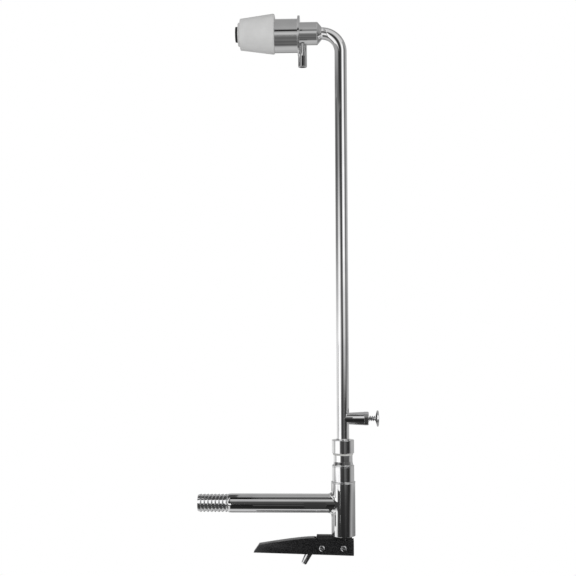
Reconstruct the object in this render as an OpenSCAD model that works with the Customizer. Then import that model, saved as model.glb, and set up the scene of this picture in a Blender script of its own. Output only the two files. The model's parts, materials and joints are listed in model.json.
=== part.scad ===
// Hand-held filling gun: hose spigot and grip, lever valve, swivelling lance and a nozzle
// with a sealing cone and an overflow stub. Millimetres, +Z up.
// The origin is the centre of the hose spigot's mouth, and the grip runs along +X.

/* [Hose spigot and grip] */
// Bore of the hose spigot
hose_bore_d = 16; // [10:0.5:17]
// Outer diameter over the barbs
barb_crest_d = 23.4; // [22:0.1:24]
// Height of one barb
barb_depth = 1.4; // [0.8:0.1:1.8]
// Length of one barb
barb_pitch = 4.8; // [4:0.1:6]
// Number of barbs
barb_count = 8; // [5:1:9]
// Length of the rounded shoulder behind the barbs
spigot_shoulder = 6.6; // [5:0.2:12]
// Outer diameter of the grip tube
grip_d = 24.5; // [24:0.5:26]
// Wall of the grip tube
grip_wall = 1.5; // [1:0.1:2]
// Distance from the hose mouth to the body axis
grip_reach = 190; // [170:1:230]
// Weld fillet above and below the grip
tee_fillet = 5; // [3:0.5:6]
// Weld fillet at the sides of the grip
tee_side_fillet = 1.6; // [1:0.1:2]

/* [Body and valve head] */
// Outer diameter of the body tube
body_d = 31; // [30.5:0.5:36]
// Wall of the body tube
body_wall = 2; // [1.5:0.1:2.4]
// Length of the body tube below the grip axis
body_below = 41.9; // [40:0.1:60]
// Length of the body tube above the grip axis
body_above = 26.7; // [24:0.1:40]
// Height of the weld bead on the body tube
weld_h = 2.3; // [1.5:0.1:3]
// How far a weld bead stands proud
weld_proud = 0.4; // [0.2:0.1:0.8]
// How far the valve head is set back from the body tube
head_step = 1.15; // [0.8:0.05:2]
// Height of the valve head above the body tube, up to its groove
head_h = 21.2; // [19:0.2:30]
// Height of the shoulder above the groove
shoulder_h = 2; // [1.5:0.1:3]
// Width and depth of the turned groove below the shoulder
head_groove = 0.5; // [0.3:0.1:0.8]
// Step from the valve head to the foot of the waisted neck
neck_step = 0.9; // [0.6:0.05:2]
// Depth of the neck's waist
neck_waist = 1.2; // [0.5:0.1:1.6]
// Height of the waisted neck
neck_h = 13; // [11:0.5:20]
// Length of the head's register inside the body tube
register_len = 12; // [8:0.5:14]
// Wall of the register
register_wall = 2; // [1.5:0.1:2.4]
// Depth of the valve seat below the top of the body tube
seat_depth = 2.7; // [2:0.1:4]
// Bore of the valve seat
seat_bore_d = 16; // [14:0.5:17]

/* [Valve] */
// Diameter of the valve stem
stem_d = 7; // [6:0.1:7.4]
// Flow gap round the valve plug
plug_gap = 1.5; // [1:0.1:2.5]
// Thickness of the valve plug
plug_t = 6; // [4:0.2:8]
// Thickness of the plug's seal
plug_seal_t = 2; // [1:0.1:3]
// Diameter of the stem's screwed end
stem_end_d = 5; // [4:0.1:5.6]
// Width of the nut over its flats
plug_nut_flats = 8; // [8:0.5:10]
// Height of the nut
plug_nut_h = 4; // [3:0.2:5]
// Mean diameter of the closing spring
valve_spring_d = 15; // [14.6:0.1:16]
// Wire of the closing spring
valve_spring_wire = 1.6; // [1:0.1:1.8]
// Turns of the closing spring
valve_spring_turns = 7; // [5:1:8]
// Thickness of the eye at the stem's lower end
eye_t = 6; // [4:0.2:8]
// Outer diameter of the eye
eye_d = 10; // [9:0.2:11]
// Spare length of the eye's slot on each side
eye_slot_play = 0.9; // [0.8:0.1:1.5]

/* [Pivot block] */
// Width of the block between the lever's cheeks
block_w = 10; // [10:0.2:14]
// Depth of the block's plug in the body tube
block_plug_h = 9; // [8:0.5:12]
// Thickness of the ledge below the body tube
ledge_t = 4.6; // [3.5:0.2:7]
// How far the ledge stands up beside the body tube
ledge_lip = 0.8; // [0.4:0.1:2]
// End of the ledge beyond the body axis
ledge_tail = 11; // [8:0.5:14]
// Radius of the tongue round the pivot
tongue_r = 7; // [6:0.2:7.4]
// Pivot below the body tube
pivot_drop = 15.2; // [14:0.2:20]
// Distance from the pivot to the link screw
link_arm = 28; // [26:0.5:34]
// Outer diameter of the guide bush and of the gland
gland_d = 12; // [11:0.2:13]
// Length of the guide bush
bush_len = 5.4; // [4:0.2:5.6]
// Number of seals in the gland
gland_rings = 2; // [1:1:2]
// Cord of the block's own seal
block_ring_w = 2; // [1.5:0.1:2.5]

/* [Lever] */
// Thickness of the lever's sheet
lever_t = 2; // [1.5:0.1:3]
// Length from the pivot to the lever's tip
lever_reach = 89; // [80:1:110]
// Height of the lever's top above the pivot
lever_rise = 13; // [12:0.5:14]
// Height of the tip's upper corner above the pivot
tip_rise = 4; // [3:0.5:6]
// Depth of the tip's lower corner below the pivot
tip_drop = 5.9; // [4:0.1:8]
// Slant of the lever's tip
tip_slant = 7; // [4:0.5:10]
// Depth of the lever's tail below the pivot
tail_drop = 9.6; // [8:0.2:12]
// Length of the tail beyond the link screw
tail_len = 13.3; // [10:0.1:16]
// Angle through which the lever is squeezed
squeeze_angle = 12; // [8:0.5:12]
// Diameter of the lever's screws
screw_d = 4; // [3:0.1:4.4]
// Diameter of the screw heads
screw_head_d = 8; // [7:0.1:9]
// Height of the screw heads
screw_head_h = 2.6; // [2:0.1:3.2]
// Width of the nuts over their flats
nut_flats = 7; // [7:0.1:8]
// Height of the nuts
nut_h = 3.2; // [2.4:0.1:4]
// Diameter of the stop screw's thread
stop_d = 5; // [4:0.1:6]
// Diameter of the stop screw's thumb end
stop_thumb_d = 10; // [8:0.1:10.4]
// Diameter of the thumb end at its tip
stop_tip_d = 7.2; // [6:0.1:7.6]
// Length of the thumb end
stop_thumb_len = 17.7; // [14:0.1:24]
// Tilt of the stop screw
stop_tilt = 27; // [20:1:28]
// Stop screw's collar behind the pivot
stop_back = 18.4; // [17:0.2:22]
// Stop screw's collar below the pivot
stop_below = 9.9; // [8:0.1:11]
// Stop boss along the screw
stop_boss_len = 6; // [5:0.2:6.4]
// Stop boss across the screw
stop_boss_w = 10; // [9:0.5:12]
// Length of the stop screw between its reference point and the boss
stop_collar = 5; // [4:0.1:6]

/* [Lance] */
// Outer diameter of the lance
lance_d = 16; // [15:0.5:17]
// Wall of the lance
lance_wall = 1.5; // [1:0.1:2]
// Height of the nozzle axis above the grip axis
nozzle_z = 616; // [400:2:800]
// Radius of the bend, on the tube's axis
bend_r = 25; // [22:0.5:40]
// Height of the collar
collar_h = 17.2; // [14:0.2:24]
// Chamfer of the collar's edges
collar_edge = 0.6; // [0.4:0.1:1]
// Height of the washer between the neck and the collar
washer_h = 2; // [1.6:0.1:2.4]
// How far the washer stays inside the collar's outline
washer_inset = 1.3; // [1:0.1:1.6]
// Depth of the lance in the collar
lance_seat = 10; // [6:0.5:12]
// Diameter of the swivel socket
swivel_d = 18; // [17:0.2:18.6]
// Length of the swivel spigot
swivel_len = 22; // [20:0.5:24]
// Cord of the swivel's seals
swivel_ring_w = 1.5; // [1:0.1:1.6]
// Height of the swivel's snap ring
snap_h = 1.4; // [1:0.1:2]
// How far the snap ring stands out of the spigot
snap_out = 0.6; // [0.4:0.1:0.8]
// Snap ring below the top of the neck
snap_drop = 5; // [4:0.1:7]
// First swivel seal above the spigot's end
swivel_seal_inset = 2.5; // [2:0.1:4]
// Distance between the swivel seals
swivel_seal_pitch = 4.5; // [3:0.1:6]

/* [Vent] */
// Height of the vent above the grip axis
vent_z = 110; // [100:1:160]
// Diameter of the vent boss at the lance
vent_root_d = 15.2; // [14:0.1:15.4]
// Diameter of the vent boss and its cap at the outer end
vent_d = 17.6; // [17:0.1:20]
// Distance from the lance axis to the end of the boss
vent_boss_reach = 28; // [26:0.5:36]
// Height of the vent cap
vent_cap_h = 5.7; // [4:0.1:8]
// Depth of the cap's spigot in the boss
vent_spigot = 4.5; // [3:0.1:5]
// Wall of the boss round the cap's spigot
vent_wall = 2.6; // [2:0.1:3]
// Bore of the vent chamber
vent_bore_d = 11; // [10:0.2:11.4]
// Bore of the vent seat
vent_seat_d = 6.4; // [5.6:0.1:7]
// Thickness of the vent seat
vent_seat_t = 3; // [2:0.1:4]
// Diameter of the vent stem
vent_stem_d = 3.5; // [3:0.1:4]
// Diameter of the vent seal
vent_seal_d = 9.6; // [8.6:0.1:9.8]
// Thickness of the vent seal and of the disc behind it
vent_seal_t = 1.8; // [1:0.1:2]
// Travel of the vent button
vent_travel = 4; // [2:0.5:4]
// Outer diameter of the button's spring
vent_spring_d = 7.1; // [6.6:0.1:8]
// Wire of the button's spring
vent_spring_wire = 1; // [0.7:0.1:1.1]
// Turns of the button's spring
vent_spring_turns = 3; // [2:1:4]
// Diameter of the button
button_d = 21; // [18:0.2:24]
// Height of the button
button_h = 4.5; // [4:0.1:7]
// Thickness of the button over its stem
button_skin = 1.5; // [1:0.1:2]

/* [Nozzle] */
// Length of the reducer after the bend
reducer_len = 5.4; // [5:0.1:10]
// Outer diameter of the jacket
jacket_d = 30; // [29:0.2:34]
// Length of the jacket
jacket_len = 23.1; // [20:0.1:40]
// Wall of the jacket
jacket_wall = 2; // [1.5:0.1:2.2]
// Diameter of the flange
flange_d = 52.5; // [50:0.5:60]
// Thickness of the flange
flange_t = 2.9; // [2.6:0.1:5]
// Outer diameter of the sleeve
sleeve_d = 44.2; // [44:0.2:48]
// Length of the sleeve
sleeve_len = 30.1; // [24:0.1:50]
// Wall of the sleeve
sleeve_wall = 1.5; // [1:0.1:2]
// Drop of the sleeve's axis towards the overflow
sleeve_drop = 2.6; // [0:0.1:2.6]
// Thickness of the port plate
plate_t = 2.5; // [1.5:0.1:4]
// Diameter of the cone at its back
cone_back_d = 54; // [52:0.5:62]
// Diameter of the cone at its tip
cone_tip_d = 41; // [38:0.5:46]
// Length of the cone
cone_len = 45.7; // [30:0.1:70]
// Rounding of the cone's back edge
cone_round = 2.2; // [1:0.1:4]
// Diameter of the cone's boss
boss_d = 31; // [28:0.5:31]
// Length of the cone's boss
boss_len = 2.8; // [2:0.1:8]
// Number of air ports through the cone
port_count = 8; // [4:1:10]
// Diameter of an air port
port_d = 2.2; // [1.5:0.1:2.4]
// Circle on which the air ports lie
port_circle_d = 33.6; // [33.4:0.1:33.8]
// Outer diameter of the fill spout
spout_d = 20; // [19:0.5:21]
// Wall of the fill spout
spout_wall = 1.5; // [1:0.1:1.6]
// How far the spout stands out of the cone
spout_proud = 3.5; // [3.3:0.1:8]
// Length of the black ring on the spout's end
spout_ring_len = 3.1; // [1.6:0.1:3.2]
// Depth of the ring's seat in the spout
spout_ring_seat = 0.6; // [0.4:0.05:0.7]
// How far the ring stands proud of the spout
spout_ring_proud = 0.2; // [0:0.05:0.5]
// Bore of the spout's mouth
mouth_d = 17.6; // [17.2:0.1:18.4]
// Depth of the spout's mouth
mouth_len = 12; // [8:0.5:30]
// Depth of the lance in the spout's root
spout_socket = 6; // [4:0.5:10]
// Outer diameter of the overflow stub
overflow_d = 11.6; // [9:0.2:12]
// Wall of the overflow stub
overflow_wall = 1.5; // [1:0.1:2]
// End of the overflow stub below the nozzle axis
overflow_drop = 44.5; // [42:0.5:80]
// Overflow stub's axis in front of the flange
overflow_setback = 3.4; // [3:0.1:8]

/* [Fits] */
// Radial clearance of a running fit
running = 0.05; // [0.02:0.01:0.1]
// Clearance between pieces that are put together once
slip = 0.04; // [0.02:0.01:0.1]
// Gap between pieces that pass each other
pass_gap = 0.3; // [0.3:0.05:0.5]

/* [Hidden] */

$fn = 64;
// Overshoot of cutting shapes
cut = 1;
// Chamfer of tube ends and small edges
end_edge = 0.5;
// Chamfer of turned pieces
turned_edge = 0.8;
steel = "#c9ccd0";
black = "#1b1b1d";
white = "#e9e9e6";
rubber = "#2a2a2c";

// Handle
barb_len = barb_pitch * barb_count;
grip_start = barb_len + spigot_shoulder;
grip_bore_r = grip_d / 2 - grip_wall;
body_bore_r = body_d / 2 - body_wall;
register_r = body_bore_r - slip;
head_d = body_d - 2 * head_step;
neck_foot_d = head_d - 2 * neck_step;
neck_d = neck_foot_d - 2 * neck_waist;
seat_z = body_above - seat_depth;
head_groove_z = body_above + head_h;
neck_z = head_groove_z + shoulder_h;
head_top_z = neck_z + neck_h;
socket_r = swivel_d / 2;
socket_floor_z = head_top_z - swivel_len - pass_gap;
snap_z = head_top_z - snap_drop;
block_z = -body_below;
ledge_z = block_z - ledge_t;
pivot_x = -link_arm;
pivot_z = block_z - pivot_drop;
gland_ring_w = (gland_d - stem_d) / 2 - running;
groove_play = 0.4;
block_groove_h = block_ring_w + groove_play;
block_groove_z = block_z + block_plug_h / 2;

// Valve
plug_d = 2 * (register_r - register_wall - plug_gap);
plug_top_z = seat_z - plug_seal_t;
plug_z = plug_top_z - plug_t;
spring_floor_z = block_z + block_plug_h;
valve_travel = link_arm * sin(squeeze_angle);
eye_shoulder_z = ledge_z - valve_travel / 2;

// Lever
cheek_y = block_w / 2 + pass_gap;
lever_y = cheek_y + lever_t;
cheek_top = pivot_drop - ledge_t - pass_gap;
web_end = -(tongue_r + pass_gap + lever_rise * sin(squeeze_angle)) / cos(squeeze_angle);
cheek_step = -tongue_r - pass_gap;
tail_end = link_arm + tail_len;
stop_turn = stop_tilt + squeeze_angle;
stop_x = -stop_back * cos(squeeze_angle) - stop_below * sin(squeeze_angle);
stop_nose = (-stop_x - tongue_r - pass_gap - stop_d / 2 * cos(stop_turn)) / sin(stop_turn);
stop_nut_flats = 1.6 * stop_d;
stop_nut_h = 0.6 * stop_d;

// Lance
lance_bore_r = lance_d / 2 - lance_wall;
collar_z = head_top_z + washer_h + pass_gap;
collar_top_z = collar_z + collar_h;
spigot_r = socket_r - running;
spigot_z = head_top_z - swivel_len;
swivel_groove_r = spigot_r - swivel_ring_w;
swivel_groove_h = swivel_ring_w + groove_play;
swivel_groove_zs = [for (i = [0, 1]) spigot_z + swivel_seal_inset + i * swivel_seal_pitch];

// Vent, as distances from the lance axis
vent_cap_x = vent_boss_reach;
vent_gap_x = vent_cap_x + vent_cap_h;
vent_gap = vent_travel + (vent_spring_turns + 2) * vent_spring_wire;
button_x = vent_gap_x + vent_gap;
vent_socket_x = vent_boss_reach - vent_spigot - pass_gap;
vent_seat_x = vent_socket_x - vent_seat_t;
vent_socket_r = vent_d / 2 - vent_wall;
button_seat = button_h - button_skin;

// Nozzle, as distances from the lance axis
reducer_n = bend_r;
jacket_n = reducer_n + reducer_len;
flange_n = jacket_n + jacket_len;
sleeve_n = flange_n + flange_t;
cone_n = sleeve_n + sleeve_len;
boss_n = cone_n + cone_len;
spout_end_n = boss_n + boss_len + spout_proud;
jacket_bore_r = jacket_d / 2 - jacket_wall;
spout_root_n = jacket_n;
spout_ring_n = spout_end_n - spout_ring_len;
spout_ring_r = spout_d / 2 - spout_ring_seat;
overflow_n = flange_n - overflow_setback;

// Points of a smooth curve from a to c that heads for b first
function curve(a, b, c, steps = 8) =
    [for (i = [0:steps]) let (t = i / steps) (1 - t) * (1 - t) * a + 2 * t * (1 - t) * b + t * t * c];

module at_body() { translate([grip_reach, 0, 0]) children(); }
module at_pivot() { translate([grip_reach + pivot_x, 0, pivot_z]) children(); }
module at_stop() {
    at_pivot() translate([-stop_back, 0, -stop_below]) rotate([0, stop_tilt, 0]) children();
}
module at_vent() { translate([grip_reach, 0, vent_z]) rotate([0, 90, 0]) children(); }
module at_nozzle() { translate([grip_reach, 0, nozzle_z]) rotate([0, -90, 0]) children(); }
module at_sleeve() { at_nozzle() translate([-sleeve_drop, 0, 0]) children(); }
module along_x() { rotate([0, 90, 0]) children(); }
module along_y() { rotate([-90, 0, 0]) children(); }

// Turned piece from points given as radius and height
module turned(points) { rotate_extrude() polygon(points); }

// Tube with its foot at height z
module pipe(r_out, r_in, h, z = 0) {
    translate([0, 0, z]) difference() {
        cylinder(r = r_out, h = h);
        translate([0, 0, -cut]) cylinder(r = r_in, h = h + 2 * cut);
    }
}

// Round seal with its cord's middle at height z
module seal_ring(r_mid, cord, z) {
    translate([0, 0, z]) rotate_extrude() translate([r_mid, 0]) circle(d = cord, $fn = 24);
}

// Hexagon nut with a plain bore
module hex_nut(flats, bore_d, h) {
    difference() {
        cylinder(d = flats / cos(30), h = h, $fn = 6);
        translate([0, 0, -cut]) cylinder(d = bore_d, h = h + 2 * cut);
    }
}

// Side profile in the XZ plane, given a width along Y
module side_plate(points, y, w) {
    translate([0, y + w, 0]) rotate([90, 0, 0]) linear_extrude(w) polygon(points);
}

// Closed skin over a list of rings with equally many points, joined into a loop or capped
module skin(rings, loop = false) {
    n = len(rings);
    m = len(rings[0]);
    last = loop ? n - 1 : n - 2;
    sides = [for (i = [0:last], j = [0:m - 1])
        let (a = i * m + j, b = i * m + (j + 1) % m)
        let (c = ((i + 1) % n) * m + j, d = ((i + 1) % n) * m + (j + 1) % m)
            each [[a, b, d], [a, d, c]]];
    caps = loop ? [] : [[for (j = [m - 1:-1:0]) j], [for (j = [0:m - 1]) (n - 1) * m + j]];
    polyhedron([for (ring = rings) each ring], concat(sides, caps), convexity = 8);
}

// Coil spring that stands on z = 0
module coil(mean_d, wire, turns, h, per_turn = 16, sides = 8) {
    rise = h - wire;
    steps = turns * per_turn;
    skin([for (i = [0:steps]) let (a = 360 * turns * i / steps, z = wire / 2 + rise * i / steps)
        [for (j = [0:sides - 1]) let (b = 360 * j / sides, r = mean_d / 2 + wire / 2 * cos(b))
            [r * cos(a), r * sin(a), z + wire / 2 * sin(b)]]]);
}

module hose_spigot() {
    crest = barb_crest_d / 2;
    root = crest - barb_depth;
    barbs = [for (i = [0:barb_count - 1]) each [
        [root, i * barb_pitch], [crest, (i + 0.8) * barb_pitch], [crest, (i + 0.9) * barb_pitch]]];
    shoulder = curve([root, barb_len + end_edge], [grip_d / 2, barb_len + end_edge],
        [grip_d / 2, grip_start - turned_edge]);
    color(steel) along_x() turned(concat([[hose_bore_d / 2, 0]], barbs, [[root, barb_len]], shoulder, [
        [grip_d / 2, grip_start], [grip_bore_r, grip_start], [hose_bore_d / 2, barb_len]]));
}

module grip_tube() {
    color(steel) difference() {
        along_x() pipe(grip_d / 2, grip_bore_r, grip_reach - grip_start, grip_start);
        at_body() translate([0, 0, -grip_d]) cylinder(d = body_d, h = 2 * grip_d);
    }
}

// Weld fillet round the saddle where the grip meets the body
module tee_weld() {
    lift = 2 * slip;
    step = 5;
    grip_r = grip_d / 2 + lift;
    body_r = body_d / 2 + lift;
    function size(a) = tee_side_fillet + (tee_fillet - tee_side_fillet) * pow(sin(a), 2);
    function on_body(r, a) = [-sqrt(pow(body_r, 2) - pow(r * cos(a), 2)), r * cos(a), r * sin(a)];
    function section(a) = let (corner = on_body(grip_r, a), toe_r = grip_r + size(a), toe = on_body(toe_r, a))
        let (bend = [toe[0] + size(a) * toe_r * pow(cos(a), 2) / toe[0], corner[1], corner[2]])
        concat([corner], curve(corner - [size(a), 0, 0], bend, toe, 5), [on_body(grip_r + size(a) / 2, a)]);
    color(steel) at_body() skin([for (a = [0:step:360 - step]) section(a)], loop = true);
}

module body_tube() {
    color(steel) at_body() difference() {
        pipe(body_d / 2, body_bore_r, body_below + body_above, -body_below);
        rotate([0, -90, 0]) cylinder(r = grip_bore_r, h = body_d);
    }
}

module weld_ring() {
    r = head_d / 2 + slip;
    out = body_d / 2 + weld_proud;
    color(steel) at_body() translate([0, 0, body_above]) turned(concat(
        [[r, 0], [body_d / 2, 0]],
        curve([out, weld_h * 0.3], [out, weld_h * 0.8], [r, weld_h])));
}

module valve_head() {
    chamber_r = register_r - register_wall;
    foot = [neck_foot_d / 2, neck_z];
    top = [neck_d / 2, head_top_z - neck_h / 6];
    snap_r = spigot_r + snap_out + pass_gap;
    color(steel) at_body() difference() {
        turned(concat([
            [chamber_r, body_above - register_len], [register_r, body_above - register_len],
            [register_r, body_above], [head_d / 2, body_above], [head_d / 2, head_groove_z - head_groove],
            [head_d / 2 - head_groove, head_groove_z - head_groove],
            [head_d / 2 - head_groove, head_groove_z], [head_d / 2, head_groove_z],
            [head_d / 2, head_groove_z + end_edge], foot],
            curve(foot + [-0.2, 0.4] * neck_waist, [neck_d / 2, neck_z + neck_h / 3], top), [
            [neck_d / 2, head_top_z], [socket_r, head_top_z], [socket_r, socket_floor_z],
            [seat_bore_d / 2, socket_floor_z], [seat_bore_d / 2, seat_z],
            [chamber_r, seat_z]]));
        pipe(snap_r, socket_r - cut, snap_h + 2 * pass_gap, snap_z - pass_gap);
    }
}

module pivot_block() {
    plug_r = register_r;
    color(black) difference() {
        union() {
            at_body() {
                translate([0, 0, block_z]) cylinder(r = plug_r, h = block_plug_h);
                translate([pivot_x - tongue_r, -block_w / 2, ledge_z])
                    cube([link_arm + tongue_r + ledge_tail, block_w, ledge_t]);
                translate([pivot_x - tongue_r, -block_w / 2, ledge_z])
                    cube([link_arm + tongue_r - body_d / 2 - pass_gap, block_w, ledge_t + ledge_lip]);
            }
            at_pivot() {
                translate([0, -block_w / 2, 0]) along_y() cylinder(r = tongue_r, h = block_w);
                translate([-tongue_r, -block_w / 2, 0])
                    cube([2 * tongue_r, block_w, pivot_drop - ledge_t / 2]);
            }
        }
        at_pivot() translate([0, -block_w, 0]) along_y()
            cylinder(d = screw_d + 2 * running, h = 2 * block_w);
        at_body() translate([0, 0, ledge_z - cut])
            cylinder(r = stem_d / 2 + pass_gap, h = ledge_t + 2 * cut);
        at_body() translate([0, 0, block_z]) cylinder(d = gland_d, h = block_plug_h + cut);
        at_body() pipe(plug_r + cut, plug_r - block_ring_w, block_groove_h, block_groove_z);
    }
}

module block_oring() {
    mid = register_r - block_ring_w / 2;
    color(rubber) at_body() seal_ring(mid, block_ring_w - slip, block_groove_z + block_groove_h / 2);
}

module guide_bush() {
    color(white) at_body()
        pipe(gland_d / 2 - slip, stem_d / 2 + running, bush_len, spring_floor_z - bush_len);
}

module gland_orings() {
    mid = (stem_d / 2 + running + gland_d / 2) / 2;
    pitch = (block_plug_h - bush_len) / gland_rings;
    color(rubber) at_body() for (i = [0:gland_rings - 1])
        seal_ring(mid, min(gland_ring_w, pitch) - 2 * slip, block_z + (i + 0.5) * pitch);
}

module valve_spring() {
    color(steel) at_body() translate([0, 0, spring_floor_z])
        coil(valve_spring_d, valve_spring_wire, valve_spring_turns, plug_z - spring_floor_z);
}

module lever() {
    tip_low = [-lever_reach, -tip_drop];
    tip_high = [-lever_reach + tip_slant, tip_rise];
    crown = [web_end, lever_rise];
    bend = [-link_arm, lever_rise];
    top = curve(tip_high, bend, crown, 10);
    outline = concat([tip_low], top, [
        [cheek_step, lever_rise - end_edge], [cheek_step, cheek_top], [tail_end, cheek_top],
        [tail_end, -tail_drop + turned_edge], [tail_end - turned_edge, -tail_drop]]);
    inside = concat([tip_low + [lever_t + tip_slant, -lever_rise], tip_low + [lever_t, 0]],
        [for (p = top) [max(p[0], tip_high[0] + lever_t), p[1] - lever_t]],
        [[web_end, lever_rise + lever_t], [tail_end + cut, lever_rise + lever_t],
         [tail_end + cut, -lever_rise - tail_drop]]);
    color(black) at_pivot() difference() {
        side_plate(outline, -lever_y, 2 * lever_y);
        side_plate(inside, -cheek_y, 2 * cheek_y);
        for (x = [0, link_arm]) translate([x, -lever_y - cut, 0]) along_y()
            cylinder(d = screw_d + 2 * slip, h = 2 * (lever_y + cut));
    }
}

// Pan-head screw through the lever, head towards -Y, with a cross recess
module lever_screw() {
    head_r = screw_head_d / 2;
    slot = screw_head_d / 8;
    end = 2 * lever_y + nut_h + end_edge;
    translate([0, -lever_y, 0]) along_y() difference() {
        turned(concat(
            [[0, -screw_head_h]],
            curve([head_r * 0.5, -screw_head_h], [head_r, -screw_head_h], [head_r, -screw_head_h * 0.4]),
            [[head_r, 0], [screw_d / 2, 0], [screw_d / 2, end], [0, end]]));
        for (a = [45, 135]) rotate([0, 0, a])
            translate([-head_r * 0.55, -slot / 2, -screw_head_h - cut])
                cube([head_r * 1.1, slot, cut + screw_head_h * 0.6]);
    }
}

module pivot_screw() { color(steel) at_pivot() lever_screw(); }

module link_screw() { color(steel) at_pivot() translate([link_arm, 0, 0]) lever_screw(); }

module lever_nuts() {
    color(steel) at_pivot() for (x = [0, link_arm])
        translate([x, lever_y, 0]) along_y() hex_nut(nut_flats, screw_d + 2 * slip, nut_h);
}

module stop_boss() {
    color(black) at_stop() difference() {
        translate([-stop_boss_w / 2, -cheek_y, stop_collar])
            cube([stop_boss_w, 2 * cheek_y, stop_boss_len]);
        cylinder(d = stop_d + 2 * slip, h = stop_collar + stop_boss_len + cut);
    }
}

module stop_screw() {
    r = stop_thumb_d / 2;
    tip_r = stop_tip_d / 2;
    foot = stop_collar - stop_thumb_len;
    color(steel) at_stop() turned([
        [0, foot], [tip_r - turned_edge, foot], [tip_r, foot + turned_edge], [r, stop_collar],
        [stop_d / 2, stop_collar],
        [stop_d / 2, stop_nose], [0, stop_nose]]);
}

module stop_nut() {
    color(steel) at_stop() translate([0, 0, stop_collar + stop_boss_len])
        hex_nut(stop_nut_flats, stop_d + 2 * slip, stop_nut_h);
}

module valve_stem() {
    slot_r = screw_d / 2 + 2 * running;
    neck_w = 0.8 * stem_d;
    top = seat_z + plug_nut_h + end_edge;
    color(steel) at_body() difference() {
        union() {
            translate([0, 0, eye_shoulder_z]) cylinder(d = stem_d, h = plug_z - eye_shoulder_z);
            translate([0, 0, plug_z]) cylinder(d = stem_end_d, h = top - plug_z);
            translate([-neck_w / 2, -eye_t / 2, pivot_z])
                cube([neck_w, eye_t, eye_shoulder_z - pivot_z + cut]);
            translate([0, -eye_t / 2, pivot_z]) along_y() cylinder(d = eye_d, h = eye_t);
        }
        translate([-slot_r - eye_slot_play, -eye_t, pivot_z - slot_r])
            cube([2 * (slot_r + eye_slot_play), 2 * eye_t, 2 * slot_r]);
    }
}

module valve_plug() {
    color(steel) at_body() pipe(plug_d / 2, stem_end_d / 2 + slip, plug_t, plug_z);
}

module plug_seal() {
    color(rubber) at_body() pipe(plug_d / 2, stem_end_d / 2 + slip, plug_seal_t, plug_top_z);
}

module plug_nut() {
    color(steel) at_body() translate([0, 0, seat_z])
        hex_nut(plug_nut_flats, stem_end_d + 2 * slip, plug_nut_h);
}

module swivel_washer() {
    color(white) at_body() pipe(head_d / 2 - washer_inset, socket_r + slip, washer_h, head_top_z);
}

module lance_collar() {
    r = head_d / 2;
    seat_r = lance_d / 2 + slip;
    seat_z0 = collar_top_z - lance_seat;
    color(steel) at_body() difference() {
        turned([
            [lance_bore_r, spigot_z], [spigot_r - end_edge, spigot_z], [spigot_r, spigot_z + end_edge],
            [spigot_r, collar_z], [r - collar_edge, collar_z], [r, collar_z + collar_edge],
            [r, collar_top_z - collar_edge], [r - collar_edge, collar_top_z], [seat_r, collar_top_z],
            [seat_r, seat_z0], [lance_bore_r, seat_z0]]);
        for (z = swivel_groove_zs)
            pipe(spigot_r + cut, swivel_groove_r, swivel_groove_h, z - swivel_groove_h / 2);
        pipe(spigot_r + cut, swivel_groove_r, snap_h + 2 * slip, snap_z - slip);
    }
}

module swivel_orings() {
    color(rubber) at_body() for (z = swivel_groove_zs)
        seal_ring(swivel_groove_r + swivel_ring_w / 2, swivel_ring_w - slip, z);
}

module swivel_ring() {
    color(steel) at_body() pipe(spigot_r + snap_out, swivel_groove_r + slip, snap_h, snap_z);
}

// Tube's or bore's path: straight lance, quarter bend and the end inside the spout
module lance_path(r, over = 0) {
    foot = collar_top_z - lance_seat - over;
    translate([0, 0, foot]) cylinder(r = r, h = nozzle_z - bend_r - foot);
    translate([-bend_r, 0, nozzle_z - bend_r]) rotate([90, 0, 0])
        rotate_extrude(angle = 90) translate([bend_r, 0]) circle(r = r);
    translate([-bend_r, 0, nozzle_z]) rotate([0, -90, 0])
        cylinder(r = r, h = spout_root_n + spout_socket - bend_r + over);
}

module lance_tube() {
    color(steel) at_body() difference() {
        lance_path(lance_d / 2);
        lance_path(lance_bore_r, cut);
        translate([0, 0, vent_z]) along_x() cylinder(d = vent_seat_d, h = lance_d);
    }
}

module collar_weld() {
    r = lance_d / 2 + slip;
    size = 4 * weld_proud;
    color(steel) at_body() translate([0, 0, collar_top_z])
        turned(concat([[r, 0]], curve([r + size, 0], [r + size * 0.4, size * 0.4], [r, size], 5)));
}

module vent_boss() {
    flare = vent_d - vent_root_d;
    color(steel) difference() {
        at_vent() turned([
            [vent_bore_d / 2, 0], [vent_root_d / 2, 0], [vent_root_d / 2, lance_d / 2],
            [vent_d / 2 - flare / 8, vent_boss_reach], [vent_socket_r, vent_boss_reach],
            [vent_socket_r, vent_socket_x], [vent_seat_d / 2, vent_socket_x],
            [vent_seat_d / 2, vent_seat_x], [vent_bore_d / 2, vent_seat_x]]);
        at_body() translate([0, 0, vent_z - vent_d]) cylinder(d = lance_d, h = 2 * vent_d);
    }
}

module vent_cap() {
    r = vent_d / 2;
    stem_r = vent_stem_d / 2 + running;
    spigot = vent_socket_r - slip;
    port_r = (stem_r + spigot) / 2;
    color(steel) at_vent() difference() {
        turned([
            [stem_r, vent_cap_x - vent_spigot], [spigot, vent_cap_x - vent_spigot], [spigot, vent_cap_x],
            [r, vent_cap_x], [r, vent_gap_x - turned_edge], [r - turned_edge, vent_gap_x],
            [stem_r, vent_gap_x]]);
        for (a = [0:120:240]) rotate([0, 0, a])
            translate([port_r, 0, vent_cap_x - vent_spigot - cut])
                cylinder(d = (spigot - stem_r) / 2, h = vent_spigot + vent_cap_h + 2 * cut, $fn = 24);
    }
}

module vent_spring() {
    color(steel) at_vent() translate([0, 0, vent_gap_x])
        coil(vent_spring_d - vent_spring_wire, vent_spring_wire, vent_spring_turns, vent_gap);
}

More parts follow.
